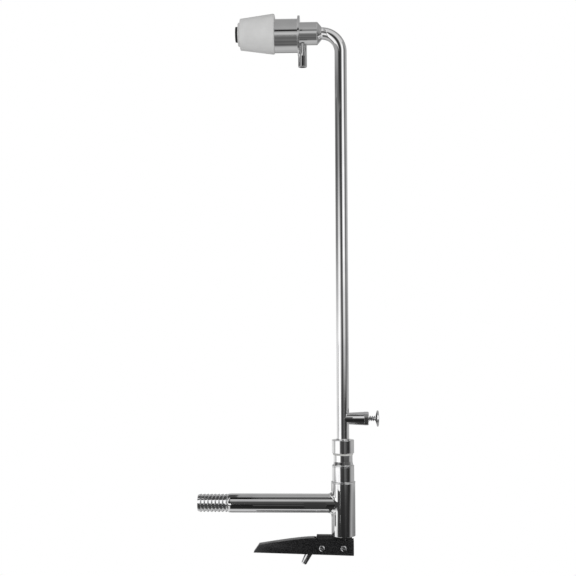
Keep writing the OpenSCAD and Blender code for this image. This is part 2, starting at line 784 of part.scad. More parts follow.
module vent_stem() {
    r = vent_stem_d / 2;
    disc_r = vent_seal_d / 2 - end_edge;
    disc_x = vent_seat_x - 2 * vent_seal_t;
    color(steel) at_vent() turned([
        [0, disc_x], [disc_r, disc_x], [disc_r, disc_x + vent_seal_t],
        [r, disc_x + vent_seal_t], [r, button_x + button_seat], [0, button_x + button_seat]]);
}

module vent_seal() {
    color(rubber) at_vent()
        pipe(vent_seal_d / 2, vent_stem_d / 2 + slip, vent_seal_t, vent_seat_x - vent_seal_t);
}

module vent_button() {
    r = button_d / 2;
    hub = vent_spring_d / 2;
    stem_r = vent_stem_d / 2 + slip;
    color(steel) at_vent() translate([0, 0, button_x]) turned(concat(
        [[stem_r, 0], [hub, 0], [r - end_edge, button_h * 0.3]],
        curve([r, button_h * 0.45], [r, button_h * 0.85], [r - button_skin, button_h * 0.9], 4),
        [[0, button_h], [0, button_seat + slip], [stem_r, button_seat + slip]]));
}

module nozzle_jacket() {
    tube_r = lance_d / 2 + slip;
    r = jacket_d / 2;
    color(steel) difference() {
        at_nozzle() turned([
            [tube_r, reducer_n], [tube_r + end_edge, reducer_n], [r, jacket_n], [r, flange_n],
            [jacket_bore_r, flange_n], [jacket_bore_r, jacket_n + jacket_wall / 2],
            [tube_r, reducer_n + jacket_wall]]);
        at_nozzle() translate([0, 0, overflow_n]) rotate([0, -90, 0])
            cylinder(r = overflow_d / 2 - overflow_wall, h = jacket_d);
    }
}

module nozzle_flange() {
    r = flange_d / 2;
    color(steel) difference() {
        at_sleeve() translate([0, 0, flange_n]) turned([
            [0, 0], [r - end_edge, 0], [r, end_edge], [r, flange_t - end_edge],
            [r - end_edge, flange_t], [0, flange_t]]);
        at_nozzle() translate([0, 0, flange_n - cut]) cylinder(r = jacket_bore_r, h = flange_t + 2 * cut);
        at_nozzle() translate([0, 0, overflow_n]) rotate([0, -90, 0])
            translate([0, 0, jacket_bore_r + jacket_wall / 2])
                cylinder(r = overflow_d / 2 + slip, h = flange_d);
    }
}

module overflow_sleeve() {
    color(steel) at_sleeve() pipe(sleeve_d / 2, sleeve_d / 2 - sleeve_wall, sleeve_len, sleeve_n);
}

module overflow_tube() {
    r = overflow_d / 2;
    bore = r - overflow_wall;
    color(steel) difference() {
        at_nozzle() translate([0, 0, overflow_n]) rotate([0, -90, 0]) turned([
            [bore, 0], [r, 0], [r, overflow_drop - turned_edge], [r - turned_edge, overflow_drop],
            [bore, overflow_drop]]);
        at_nozzle() cylinder(d = jacket_d, h = spout_end_n);
    }
}

module air_ports(z, h) {
    for (i = [0:port_count - 1]) rotate([0, 0, (i + 0.5) * 360 / port_count])
        translate([port_circle_d / 2, 0, z - cut]) cylinder(d = port_d, h = h + 2 * cut, $fn = 24);
}

module port_plate() {
    color(steel) difference() {
        at_sleeve() translate([0, 0, cone_n - plate_t])
            cylinder(r = sleeve_d / 2 - sleeve_wall - slip, h = plate_t);
        at_nozzle() translate([0, 0, cone_n - plate_t - cut])
            cylinder(r = spout_d / 2 + slip, h = plate_t + 2 * cut);
        at_nozzle() air_ports(cone_n - plate_t, plate_t);
    }
}

module fill_spout() {
    r = spout_d / 2;
    bore = r - spout_wall;
    root_r = lance_d / 2 + slip;
    mouth_r = mouth_d / 2;
    color(steel) at_nozzle() turned([
        [root_r, spout_root_n], [r, spout_root_n], [r, spout_ring_n], [spout_ring_r, spout_ring_n],
        [spout_ring_r, spout_end_n], [mouth_r, spout_end_n], [mouth_r, spout_end_n - mouth_len],
        [bore, spout_end_n - mouth_len],
        [bore, spout_root_n + spout_socket + pass_gap],
        [root_r, spout_root_n + spout_socket + pass_gap]]);
}

module spout_ring() {
    r = spout_ring_r + slip;
    out = spout_d / 2 + spout_ring_proud;
    color(rubber) at_nozzle() turned([
        [r, spout_ring_n + slip], [out, spout_ring_n + slip], [out, spout_end_n - end_edge],
        [out - end_edge, spout_end_n], [r, spout_end_n]]);
}

module sealing_cone() {
    back = cone_back_d / 2;
    slope = (cone_back_d - cone_tip_d) / 2 / cone_len;
    bore = spout_d / 2 + slip;
    front = boss_n + boss_len;
    color(white) at_nozzle() difference() {
        turned(concat(
            [[bore, cone_n]],
            curve([back - cone_round, cone_n], [back, cone_n],
                [back - slope * cone_round, cone_n + cone_round], 6),
            [[cone_tip_d / 2, boss_n - end_edge], [cone_tip_d / 2 - end_edge, boss_n], [boss_d / 2, boss_n],
             [boss_d / 2, front - end_edge], [boss_d / 2 - end_edge, front], [bore, front]]));
        air_ports(cone_n, cone_len);
    }
}

hose_spigot();
grip_tube();
tee_weld();
body_tube();
weld_ring();
valve_head();
pivot_block();
block_oring();
guide_bush();
gland_orings();
valve_spring();
lever();
pivot_screw();
link_screw();
lever_nuts();
stop_boss();
stop_screw();
stop_nut();
valve_stem();
valve_plug();
plug_seal();
plug_nut();
swivel_washer();
lance_collar();
swivel_orings();
swivel_ring();
lance_tube();
collar_weld();
vent_boss();
vent_cap();
vent_spring();
vent_stem();
vent_button();
vent_seal();
nozzle_jacket();
nozzle_flange();
overflow_sleeve();
overflow_tube();
port_plate();
fill_spout();
spout_ring();
sealing_cone();
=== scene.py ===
"""Looks of a hand-held filling gun: polished steel tubes, a satin black lever and a white sealing cone.

Sizes are millimetres unless a name says otherwise, and MM turns them into Blender's metres.
"""
import json
import math

import bmesh
import bpy
from mathutils import Matrix, Vector


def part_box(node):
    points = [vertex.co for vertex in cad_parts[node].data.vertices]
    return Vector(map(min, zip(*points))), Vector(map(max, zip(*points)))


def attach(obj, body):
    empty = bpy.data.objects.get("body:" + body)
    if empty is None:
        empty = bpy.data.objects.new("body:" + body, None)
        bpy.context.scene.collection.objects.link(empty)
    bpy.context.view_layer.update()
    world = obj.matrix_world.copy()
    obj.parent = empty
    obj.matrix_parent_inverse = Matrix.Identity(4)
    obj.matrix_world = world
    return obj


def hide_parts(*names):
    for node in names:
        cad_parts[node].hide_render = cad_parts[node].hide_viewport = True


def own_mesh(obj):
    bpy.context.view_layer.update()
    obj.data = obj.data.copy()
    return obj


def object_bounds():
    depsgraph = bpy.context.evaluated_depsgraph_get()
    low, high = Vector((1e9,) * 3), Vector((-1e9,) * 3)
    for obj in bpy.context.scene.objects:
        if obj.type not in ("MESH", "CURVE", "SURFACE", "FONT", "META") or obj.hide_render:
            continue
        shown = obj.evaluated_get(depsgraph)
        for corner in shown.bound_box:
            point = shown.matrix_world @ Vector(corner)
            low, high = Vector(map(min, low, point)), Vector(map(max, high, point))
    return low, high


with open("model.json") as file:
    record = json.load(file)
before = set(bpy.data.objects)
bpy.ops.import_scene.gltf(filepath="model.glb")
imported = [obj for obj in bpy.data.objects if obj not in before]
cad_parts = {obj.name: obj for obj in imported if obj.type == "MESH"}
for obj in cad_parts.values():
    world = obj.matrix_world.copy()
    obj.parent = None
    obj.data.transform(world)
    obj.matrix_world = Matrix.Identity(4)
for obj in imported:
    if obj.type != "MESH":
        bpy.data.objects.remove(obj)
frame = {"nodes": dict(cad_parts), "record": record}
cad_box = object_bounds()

MM = 0.001
TO_METRES = Matrix.Scale(MM, 4)
SCENE = bpy.context.scene


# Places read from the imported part

def low(node):
    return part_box(node)[0] / MM


def high(node):
    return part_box(node)[1] / MM


def middle(node):
    return (low(node) + high(node)) / 2


def half_width(node):
    return (high(node).y - low(node).y) / 2


BODY_X = middle("body_tube").x
BODY_R = half_width("body_tube")
BODY_FOOT = low("body_tube").z
BODY_TOP = high("body_tube").z
GRIP_R = half_width("grip_tube")
GRIP_START = low("grip_tube").x
HEAD_R = half_width("valve_head")
HEAD_TOP = high("valve_head").z
COLLAR_R = half_width("lance_collar")
COLLAR_TOP = high("lance_collar").z
WASHER_TOP = high("swivel_washer").z
LANCE_R = half_width("lance_tube")
JACKET_R = half_width("nozzle_jacket")
SPOUT_R = half_width("fill_spout")
NOZZLE_Z = middle("fill_spout").z
SLEEVE_Z = middle("overflow_sleeve").z
VENT_Z = middle("vent_boss").z

# Walls, bores and small forms that a box can't tell
SLIP = 0.04
TUBE_WALL = 1.5
BODY_WALL = 2.0
HOSE_BORE_R = 8.0
BARB_COUNT = 8
BARB_PITCH = 4.8
BARB_ROOT_R = 10.3
BARB_CREST_R = 11.7
HEAD_GROOVE_Z = 47.9
HEAD_GROOVE = 0.5
HEAD_SHOULDER_Z = 49.9
NECK_FOOT_R = HEAD_R - 0.9
NECK_R = NECK_FOOT_R - 1.2
SWIVEL_R = 9.0
SWIVEL_GAP = 0.3
BEND_R = 25.0
LINK_ARM = 28.0
VENT_SEAT_R = 6.2
RING_SEAT_R = SPOUT_R - 0.6
MOUTH_R = 8.8
MOUTH_LEN = 12.0
PORT_COUNT = 8
PORT_R = 1.1
PORT_CIRCLE_R = 16.8
CONE_BORE_R = 10.04
CONE_TIP_R = 20.5
CONE_BOSS_R = 15.5
CONE_BOSS_LEN = 2.8

# Places of turned pieces: local Z is the turning axis, and local Y stays the part's Y
ON_BODY = Matrix.Translation((BODY_X, 0, 0))
ALONG_GRIP = Matrix.Rotation(math.radians(90), 4, "Y")
TO_SPOUT = Matrix.Rotation(math.radians(-90), 4, "Y")
DOWNWARDS = Matrix.Rotation(math.pi, 4, "Y")
ON_VENT = Matrix.Translation((BODY_X, 0, VENT_Z)) @ ALONG_GRIP
ALONG_NOZZLE = Matrix.Translation((BODY_X, 0, NOZZLE_Z)) @ TO_SPOUT
ALONG_SLEEVE = Matrix.Translation((BODY_X, 0, SLEEVE_Z)) @ TO_SPOUT
DOWN_OVERFLOW = Matrix.Translation((middle("overflow_tube").x, 0, NOZZLE_Z)) @ DOWNWARDS


# Node helpers

def put(tree, kind, inputs=None, **settings):
    """Add a node of a kind that this sort of tree has, set its properties, and set or link its inputs."""
    made = tree.nodes.new(tree.bl_idname.removesuffix("Tree") + kind)
    for name, value in settings.items():
        setattr(made, name, value)
    for name, value in (inputs or {}).items():
        if isinstance(value, bpy.types.NodeSocket):
            tree.links.new(value, made.inputs[name])
        else:
            made.inputs[name].default_value = value
    return made


def flow(*given, **settings):
    """Add a node as put does, and return its first output."""
    return put(*given, **settings).outputs[0]


def calc(tree, operation, *values):
    return flow(tree, "Math", dict(enumerate(values)), operation=operation)


def between(tree, value, start, end, low_out=0.0, high_out=1.0):
    """Map start to end smoothly onto low_out to high_out."""
    inputs = {0: value, 1: start, 2: end, 3: low_out, 4: high_out}
    return flow(tree, "MapRange", inputs, interpolation_type="SMOOTHSTEP")


def mixed(tree, share, first, second):
    return put(tree, "Mix", {0: share, 6: first, 7: second}, data_type="RGBA").outputs[2]


def object_place(tree):
    return put(tree, "TexCoord").outputs["Object"]


def noise(tree, place, scale, detail=2.0, roughness=0.5):
    inputs = {"Vector": place, "Scale": scale, "Detail": detail, "Roughness": roughness}
    return flow(tree, "TexNoise", inputs)


def light_level(display):
    """Linear value of a display grey from 0 to 255."""
    share = display / 255
    return share / 12.92 if share <= 0.04045 else ((share + 0.055) / 1.055) ** 2.4


def shader_group(name, inputs, outputs):
    """A shader node group with named float inputs and outputs; returns the tree and its two ends."""
    tree = bpy.data.node_groups.new(name, "ShaderNodeTree")
    for label, value in inputs.items():
        socket = tree.interface.new_socket(label, in_out="INPUT", socket_type="NodeSocketFloat")
        socket.default_value = value
    for label in outputs:
        tree.interface.new_socket(label, in_out="OUTPUT", socket_type="NodeSocketFloat")
    return tree, tree.nodes.new("NodeGroupInput").outputs, tree.nodes.new("NodeGroupOutput").inputs


# Effects shared by several finishes

def polish_marks_group():
    """Soft haze left by polishing and fine hairlines, both from 0 to 1."""
    tree, given, wanted = shader_group(
        "polish_marks", {"Haze Scale": 60.0, "Line Scale": 900.0}, ("Haze", "Lines"))
    place = object_place(tree)
    hazy, scratched = (0.35, 0.75), (0.62, 0.74)
    haze = noise(tree, place, given["Haze Scale"], detail=4.0)
    tree.links.new(between(tree, haze, *hazy), wanted["Haze"])
    layers = []
    for turn, stretch in ((0.4, 0.02), (-0.7, 0.03)):
        spread = flow(tree, "Mapping", {
            "Vector": place, "Rotation": (turn, turn / 2, turn), "Scale": (stretch, 1.0, 1.0)})
        line = noise(tree, spread, given["Line Scale"])
        layers.append(between(tree, line, *scratched))
    tree.links.new(calc(tree, "MAXIMUM", *layers), wanted["Lines"])
    return tree


def fine_grain_group():
    """Height of a fine pebbled skin and a slow mottle, both from 0 to 1."""
    tree, given, wanted = shader_group(
        "fine_grain", {"Grain Scale": 1800.0, "Mottle Scale": 70.0}, ("Grain", "Mottle"))
    place = object_place(tree)
    mottled = (0.3, 0.7)
    cells = put(tree, "TexVoronoi", {"Vector": place, "Scale": given["Grain Scale"]})
    speck = noise(tree, place, given["Grain Scale"], detail=3.0)
    tree.links.new(calc(tree, "MULTIPLY", cells.outputs["Distance"], speck), wanted["Grain"])
    mottle = noise(tree, place, given["Mottle Scale"], detail=5.0, roughness=0.6)
    tree.links.new(between(tree, mottle, *mottled), wanted["Mottle"])
    return tree


def edge_wear_group():
    """Broken wear along the edges that a mesh marks with its edge attribute, from 0 to 1."""
    tree, given, wanted = shader_group("edge_wear", {"Amount": 0.6, "Break Scale": 700.0}, ("Wear",))
    edge = put(tree, "Attribute", attribute_name="edge").outputs["Fac"]
    broken = (0.42, 0.62)
    patches = noise(tree, object_place(tree), given["Break Scale"], detail=4.0)
    worn = calc(tree, "MULTIPLY", edge, between(tree, patches, *broken))
    tree.links.new(calc(tree, "MULTIPLY", worn, given["Amount"]), wanted["Wear"])
    return tree


GROUPS = {"polish": polish_marks_group(), "grain": fine_grain_group(), "wear": edge_wear_group()}


# Finishes, one for each material slot of the record

def finish_base(name, metallic):
    """A material with one Principled shader."""
    made = bpy.data.materials.new(name)
    made.use_nodes = True
    shader = made.node_tree.nodes["Principled BSDF"]
    shader.inputs["Metallic"].default_value = metallic
    return made, made.node_tree, shader


def use_group(tree, key, **values):
    node = put(tree, "Group", node_tree=GROUPS[key])
    for label, value in values.items():
        node.inputs[label.replace("_", " ")].default_value = value
    return node.outputs


def surfaced(tree, shader, colour, roughness, height, depth):
    """Link what varies over the surface: colour, roughness, and a height of this depth in metres."""
    tree.links.new(colour, shader.inputs["Base Color"])
    tree.links.new(roughness, shader.inputs["Roughness"])
    bump = flow(tree, "Bump", {"Height": height, "Distance": depth, "Strength": 1.0})
    tree.links.new(bump, shader.inputs["Normal"])


def steel_finish(name, dark, bright, roughness, haze, lines, line_depth, haze_scale):
    """Bright steel: haze and hairlines vary its gloss, its tint and its height."""
    made, tree, shader = finish_base(name, metallic=1.0)
    marks = use_group(tree, "polish", Haze_Scale=haze_scale)
    colour = mixed(tree, marks["Haze"], (*bright, 1), (*dark, 1))
    hazed = calc(tree, "MULTIPLY_ADD", marks["Haze"], haze, roughness)
    lined = calc(tree, "MULTIPLY_ADD", marks["Lines"], lines, hazed)
    surfaced(tree, shader, colour, lined, marks["Lines"], -line_depth)
    return made


def tip_sheen_share(tree):
    """Painted sheen, from 0 to 1 towards the lever's tip, which is painted paler as if it caught light."""
    along = put(tree, "SeparateXYZ", {0: object_place(tree)}).outputs["X"]
    tip = low("lever").x
    sheen_start, pale = tip + 26, tip - 8
    return between(tree, along, sheen_start * MM, pale * MM)


def moulded_finish(
        name, dark, bright, roughness, spread, grain_scale, grain_depth, wear=0.0, worn=None, painted_tip_sheen=None):
    """Matt plastic, rubber or coating: mottled colour, a pebbled skin and worn edges."""
    made, tree, shader = finish_base(name, metallic=0.0)
    grain = use_group(tree, "grain", Grain_Scale=grain_scale)
    colour = mixed(tree, grain["Mottle"], (*dark, 1), (*bright, 1))
    # Painted sheen: the lever's tip is painted paler, as if it caught light.
    if painted_tip_sheen:
        colour = mixed(tree, tip_sheen_share(tree), colour, (*painted_tip_sheen, 1))
    if worn:
        edges = use_group(tree, "wear", Amount=wear)
        colour = mixed(tree, edges["Wear"], colour, (*worn, 1))
    gloss = calc(tree, "MULTIPLY_ADD", grain["Mottle"], spread, roughness)
    surfaced(tree, shader, colour, gloss, grain["Grain"], grain_depth)
    return made


# Looks of the finishes, with depths in metres
STEELS = {
    "polished_steel": dict(
        dark=(0.86, 0.86, 0.87), bright=(0.93, 0.93, 0.93), roughness=0.05, haze=0.03, lines=0.04,
        line_depth=2e-6, haze_scale=45.0),
    "bright_hardware": dict(
        dark=(0.78, 0.78, 0.79), bright=(0.9, 0.9, 0.91), roughness=0.16, haze=0.08, lines=0.08,
        line_depth=4e-6, haze_scale=250.0),
    "spring_wire": dict(
        dark=(0.2, 0.2, 0.21), bright=(0.36, 0.36, 0.37), roughness=0.16, haze=0.08, lines=0.08,
        line_depth=4e-6, haze_scale=300.0),
}
MOULDINGS = {
    # The black lever's paler tip colour is painted sheen.
    "black_lever": dict(
        dark=(0.005, 0.005, 0.006), bright=(0.009, 0.009, 0.01), roughness=0.24, spread=0.06,
        grain_scale=2600.0, grain_depth=6e-6, wear=0.5, worn=(0.06, 0.06, 0.062),
        painted_tip_sheen=(0.07, 0.07, 0.072)),
    "black_block": dict(
        dark=(0.012, 0.012, 0.013), bright=(0.022, 0.022, 0.023), roughness=0.45, spread=0.1,
        grain_scale=1500.0, grain_depth=2e-5, wear=0.4, worn=(0.07, 0.07, 0.07)),
    "white_cone": dict(
        dark=(0.74, 0.74, 0.735), bright=(0.79, 0.79, 0.785), roughness=0.5, spread=0.1,
        grain_scale=1300.0, grain_depth=2e-5),
    "white_bush": dict(
        dark=(0.74, 0.74, 0.72), bright=(0.82, 0.82, 0.8), roughness=0.42, spread=0.1,
        grain_scale=1500.0, grain_depth=1e-5),
    "black_seal": dict(
        dark=(0.012, 0.012, 0.012), bright=(0.03, 0.03, 0.03), roughness=0.55, spread=0.15,
        grain_scale=2500.0, grain_depth=1e-5),
}
FINISHES = {name: steel_finish(name, **look) for name, look in STEELS.items()}
FINISHES.update((name, moulded_finish(name, **look)) for name, look in MOULDINGS.items())


# Mesh helpers

def linked(name, data):
    """An object of the scene that shows a mesh or is a camera."""
    made = bpy.data.objects.new(name, data)
    SCENE.collection.objects.link(made)
    return made


def piece(name, mesh, finish, body, *nodes):
    """Show a mesh as a piece that moves with a body and stands for these nodes."""
    made = linked(name, mesh)
    mesh.materials.clear()
    mesh.materials.append(FINISHES[finish])
    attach(made, body)
    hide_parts(*nodes)
    return made


def rounded(outline, arc_steps=5, hold=0.04, most=0.45):
    """Turn the corners of a closed outline of (radius, height, rounding) points into arcs.

    Points just outside each arc hold the flat stretches flat when they are shaded smooth, and an arc
    takes at most a share of a stretch. A height may be a function of y, for an end that follows another
    tube; such a point stays sharp.
    """
    flat = [Vector((p[0], p[1](0.0) if callable(p[1]) else p[1])) for p in outline]
    points = []
    for i, given in enumerate(outline):
        if len(given) < 3:
            points.append(given)
            continue
        here = flat[i]
        back = flat[i - 1] - here
        ahead = flat[(i + 1) % len(flat)] - here
        half = back.angle(ahead) / 2
        reach = min(given[2] / math.tan(half), most * back.length, most * ahead.length)
        back.normalize()
        ahead.normalize()
        centre = here + (back + ahead).normalized() * reach / math.cos(half)
        start = here + back * reach - centre
        turn = start.angle_signed(here + ahead * reach - centre)
        points.append(tuple(here + back * (reach + hold)))
        for step in range(arc_steps + 1):
            points.append(tuple(centre + Matrix.Rotation(-turn * step / arc_steps, 2) @ start))
        points.append(tuple(here + ahead * (reach + hold)))
    return points


def ring_faces(bm, rings):
    """Join closed rings of points by faces, each ring to the next and the last to the first."""
    for ring, following in zip(rings, rings[1:] + rings[:1]):
        for i in range(len(ring)):
            j = (i + 1) % len(ring)
            bm.faces.new((ring[i], following[i], following[j], ring[j]))


def turned(name, outline, place, steps=128, ripple=None):
    """Turn a closed outline about local Z and put it in place."""
    points = rounded(outline)
    bm = bmesh.new()
    rings = []
    for step in range(steps):
        angle = 2 * math.pi * step / steps
        swell = ripple(angle) if ripple else 0.0
        ring = []
        for radius, height in points:
            z = height(radius * math.sin(angle)) if callable(height) else height
            reach = radius + swell
            ring.append(bm.verts.new((reach * math.cos(angle), reach * math.sin(angle), z)))
        rings.append(ring)
    ring_faces(bm, rings)
    return closed_mesh(name, bm, TO_METRES @ place)


def plain_mesh(name, bm):
    mesh = bpy.data.meshes.new(name)
    bm.to_mesh(mesh)
    bm.free()
    return mesh


def closed_mesh(name, bm, place=None):
    """Merge doubles, turn the faces outwards, place the mesh and shade it smooth between sharp corners."""
    bmesh.ops.remove_doubles(bm, verts=bm.verts, dist=1e-4)
    bmesh.ops.dissolve_degenerate(bm, edges=bm.edges, dist=1e-5)
    bmesh.ops.recalc_face_normals(bm, faces=bm.faces)
    if place is not None:
        bm.transform(place)
    return smooth(plain_mesh(name, bm))


def smooth(mesh, sharp_degrees=35):
    mesh.shade_smooth()
    mesh.set_sharp_from_angle(angle=math.radians(sharp_degrees))
    return mesh


def moved(mesh, place):
    """Put a mesh in metres at a place in millimetres."""
    mesh.transform(TO_METRES @ place @ Matrix.Scale(1 / MM, 4))


def joined(name, *meshes):
    """One mesh of several."""
    bm = bmesh.new()
    for mesh in meshes:
        bm.from_mesh(mesh)
    return smooth(plain_mesh(name, bm))


def turned_piece(name, outline, place, body, node, finish="polished_steel", **shape):
    return piece(name, turned(name, outline, place, **shape), finish, body, node)


def node_copy(node, flat_degrees=0.5):
    """A node's own mesh, with its loose triangles joined and flat stretches made one face."""
    bm = bmesh.new()
    bm.from_mesh(frame["nodes"][node].data)
    bmesh.ops.remove_doubles(bm, verts=bm.verts, dist=1e-6)
    bmesh.ops.dissolve_limit(bm, angle_limit=math.radians(flat_degrees), verts=bm.verts, edges=bm.edges)
    return plain_mesh(node, bm)


def softened(mesh, width, segments=3, sharp_degrees=30):
    """Round the sharp edges of a mesh, and mark them in its edge attribute for wear."""
    holder = linked(mesh.name, mesh)
    bevel = holder.modifiers.new("soft_edges", "BEVEL")
    bevel.width = width * MM
    bevel.segments = segments
    bevel.limit_method = "ANGLE"
    bevel.angle_limit = math.radians(sharp_degrees)
    bevel.harden_normals = True
    mesh.shade_smooth()
    made = evaluated_mesh(holder)
    mark_edges(made)
    return made


def evaluated_mesh(holder):
    """The plain mesh that an object's modifiers give; the object itself goes."""
    depsgraph = bpy.context.evaluated_depsgraph_get()
    made = bpy.data.meshes.new_from_object(holder.evaluated_get(depsgraph), depsgraph=depsgraph)
    bpy.data.objects.remove(holder)
    return made


def mark_edges(mesh, bend_degrees=12):
    """Store 1 on the points of rounded edges and 0 elsewhere."""
    bm = bmesh.new()
    bm.from_mesh(mesh)
    limit = math.radians(bend_degrees)
    bent = [any(e.calc_face_angle(0) > limit for e in v.link_edges) for v in bm.verts]
    bm.free()
    mark = mesh.attributes.new("edge", "FLOAT", "POINT")
    mark.data.foreach_set("value", [float(b) for b in bent])


# Geometry Nodes
COIL_STEPS = 48
WIRE_SIDES = 16
BEND_STEPS = 40
TUBE_SIDES = 96
HOLE_SIDES = 48


def geometry_tree(name, sizes):
    """A geometry tree with named inputs, the finish last; returns the tree, its inputs and its output."""
    tree = bpy.data.node_groups.new(name, "GeometryNodeTree")
    tree.interface.new_socket("Geometry", in_out="INPUT", socket_type="NodeSocketGeometry")
    tree.interface.new_socket("Geometry", in_out="OUTPUT", socket_type="NodeSocketGeometry")
    for label, kind in {**sizes, "Finish": "Material"}.items():
        tree.interface.new_socket(label, in_out="INPUT", socket_type="NodeSocket" + kind)
    return tree, tree.nodes.new("NodeGroupInput").outputs, tree.nodes.new("NodeGroupOutput").inputs[0]


def end_tree(tree, geometry, given, wanted):
    """Realize, shade smooth and give the finish."""
    real = flow(tree, "RealizeInstances", {0: geometry})
    shaded = flow(tree, "SetShadeSmooth", {0: real})
    dressed = flow(tree, "SetMaterial", {0: shaded, "Material": given["Finish"]})
    tree.links.new(dressed, wanted)
    return tree


def copies_in_row_tree():
    """Copies of the piece itself in a straight row."""
    tree, given, wanted = geometry_tree("copies_in_row", {"Count": "Int", "Step": "Vector"})
    row = flow(tree, "MeshLine", {"Count": given["Count"], "Offset": given["Step"]})
    copies = flow(tree, "InstanceOnPoints", {"Points": row, "Instance": given["Geometry"]})
    return end_tree(tree, copies, given, wanted)


def wound_wire_tree():
    """A coil of round wire that stands on its first turn."""
    tree, given, wanted = geometry_tree("wound_wire", {
        "Turns": "Float", "Coil Radius": "Float", "Wire Radius": "Float", "Rise": "Float"})
    path = flow(tree, "CurveSpiral", {
        "Resolution": COIL_STEPS, "Rotations": given["Turns"], "Start Radius": given["Coil Radius"],
        "End Radius": given["Coil Radius"], "Height": given["Rise"]})
    section = flow(tree, "CurvePrimitiveCircle", {"Resolution": WIRE_SIDES, "Radius": given["Wire Radius"]})
    wire = flow(tree, "CurveToMesh", {"Curve": path, "Profile Curve": section, "Fill Caps": True})
    return end_tree(tree, wire, given, wanted)


def bent_tube_tree():
    """A tube swept along the piece's own line, with its corners bent to a radius."""
    tree, given, wanted = geometry_tree("bent_tube", {
        "Bend Radius": "Float", "Outer Radius": "Float", "Inner Radius": "Float"})
    line = flow(tree, "MeshToCurve", {"Mesh": given["Geometry"]})
    path = flow(tree, "FilletCurve", {
        "Curve": line, "Radius": given["Bend Radius"], "Count": BEND_STEPS}, mode="POLY")
    walls = []
    for label in ("Outer Radius", "Inner Radius"):
        section = flow(tree, "CurvePrimitiveCircle", {"Resolution": TUBE_SIDES, "Radius": given[label]})
        walls.append(flow(tree, "CurveToMesh", {"Curve": path, "Profile Curve": section}))
    walls[1] = flow(tree, "FlipFaces", {"Mesh": walls[1]})
    both = put(tree, "JoinGeometry")
    for wall in walls:
        tree.links.new(wall, both.inputs[0])
    return end_tree(tree, both.outputs[0], given, wanted)


def bored_tree():
    """Round holes through the piece: rods on a circle, turned and moved as one, cut out of it."""
    tree, given, wanted = geometry_tree("bored", {
        "Count": "Int", "Circle Radius": "Float", "Hole Radius": "Float", "Depth": "Float",
        "Turn": "Rotation", "Centre": "Vector"})
    ring = flow(tree, "MeshCircle", {"Vertices": given["Count"], "Radius": given["Circle Radius"]})
    rod = flow(tree, "MeshCylinder", {
        "Vertices": HOLE_SIDES, "Radius": given["Hole Radius"], "Depth": given["Depth"]})
    rods = flow(tree, "InstanceOnPoints", {"Points": ring, "Instance": rod})
    placed = flow(tree, "Transform", {0: rods, "Rotation": given["Turn"], "Translation": given["Centre"]})
    real = flow(tree, "RealizeInstances", {0: placed})
    cut = flow(tree, "MeshBoolean", {0: given["Geometry"], 1: real}, operation="DIFFERENCE")
    return end_tree(tree, cut, given, wanted)


TREES = {
    "row": copies_in_row_tree(), "wire": wound_wire_tree(), "tube": bent_tube_tree(), "bored": bored_tree()}


def grown(name, mesh, key, finish, **sizes):
    """Run a geometry tree on a mesh with these sizes and keep the plain mesh that comes out."""
    holder = linked(name, mesh)
    nodes = holder.modifiers.new(key, "NODES")
    nodes.node_group = TREES[key]
    sockets = {s.name: s.identifier for s in TREES[key].interface.items_tree if s.in_out == "INPUT"}
    for label, value in sizes.items():
        nodes[sockets[label.replace("_", " ")]] = value
    nodes[sockets["Finish"]] = FINISHES[finish]
    made = evaluated_mesh(holder)
    made.name = name
    return made


# Handle

def hose_spigot():
    barb_len = BARB_COUNT * BARB_PITCH
    land_before, land_after = 0.5, 0.8
    foot, crown = barb_len + land_before, GRIP_START - land_after
    steps = 12
    shoulder = []
    for step in range(steps + 1):
        t = step / steps
        radius = BARB_ROOT_R + (GRIP_R - BARB_ROOT_R) * t * (2 - t)
        shoulder.append((radius, foot + (crown - foot) * t * t))
    core = turned("spigot_core", [
        (HOSE_BORE_R, 0, 0.4), (BARB_ROOT_R, 0, 0.4), *shoulder,
        (GRIP_R, GRIP_START), (GRIP_R - TUBE_WALL, GRIP_START), (HOSE_BORE_R, barb_len)], ALONG_GRIP)
    start, under = 0.02, BARB_ROOT_R - 0.4
    slope_end, crest_end = 0.78 * BARB_PITCH, 0.9 * BARB_PITCH
    barb = turned("barb", [
        (under, start), (BARB_ROOT_R, start, 0.1), (BARB_CREST_R, slope_end, 0.4),
        (BARB_CREST_R, crest_end, 0.3), (BARB_ROOT_R, BARB_PITCH, 0.1), (under, BARB_PITCH)], ALONG_GRIP)
    barbs = grown("barbs", barb, "row", "polished_steel", Count=BARB_COUNT, Step=(BARB_PITCH * MM, 0, 0))
    mesh = joined("hose_spigot_ribbed", core, barbs)
    piece("hose_spigot_ribbed", mesh, "polished_steel", "handle", "hose_spigot")


def tube_side(radius, y):
    """How far out a round tube's side is, at a distance y from its middle plane."""
    return math.sqrt(radius ** 2 - y ** 2)


def grip_tube():
    inner = GRIP_R - TUBE_WALL

    def on_body(y):
        return BODY_X - tube_side(BODY_R, y)

    turned_piece("grip_tube_polished", [
        (inner, GRIP_START), (GRIP_R, GRIP_START), (GRIP_R, on_body), (inner, on_body)],
        ALONG_GRIP, "handle", "grip_tube")


def hand_waves(angle, *waves):
    """Unevenness of hand work round a weld, from (size, count, start) waves."""
    return sum(size * math.sin(count * angle + start) for size, count, start in waves)


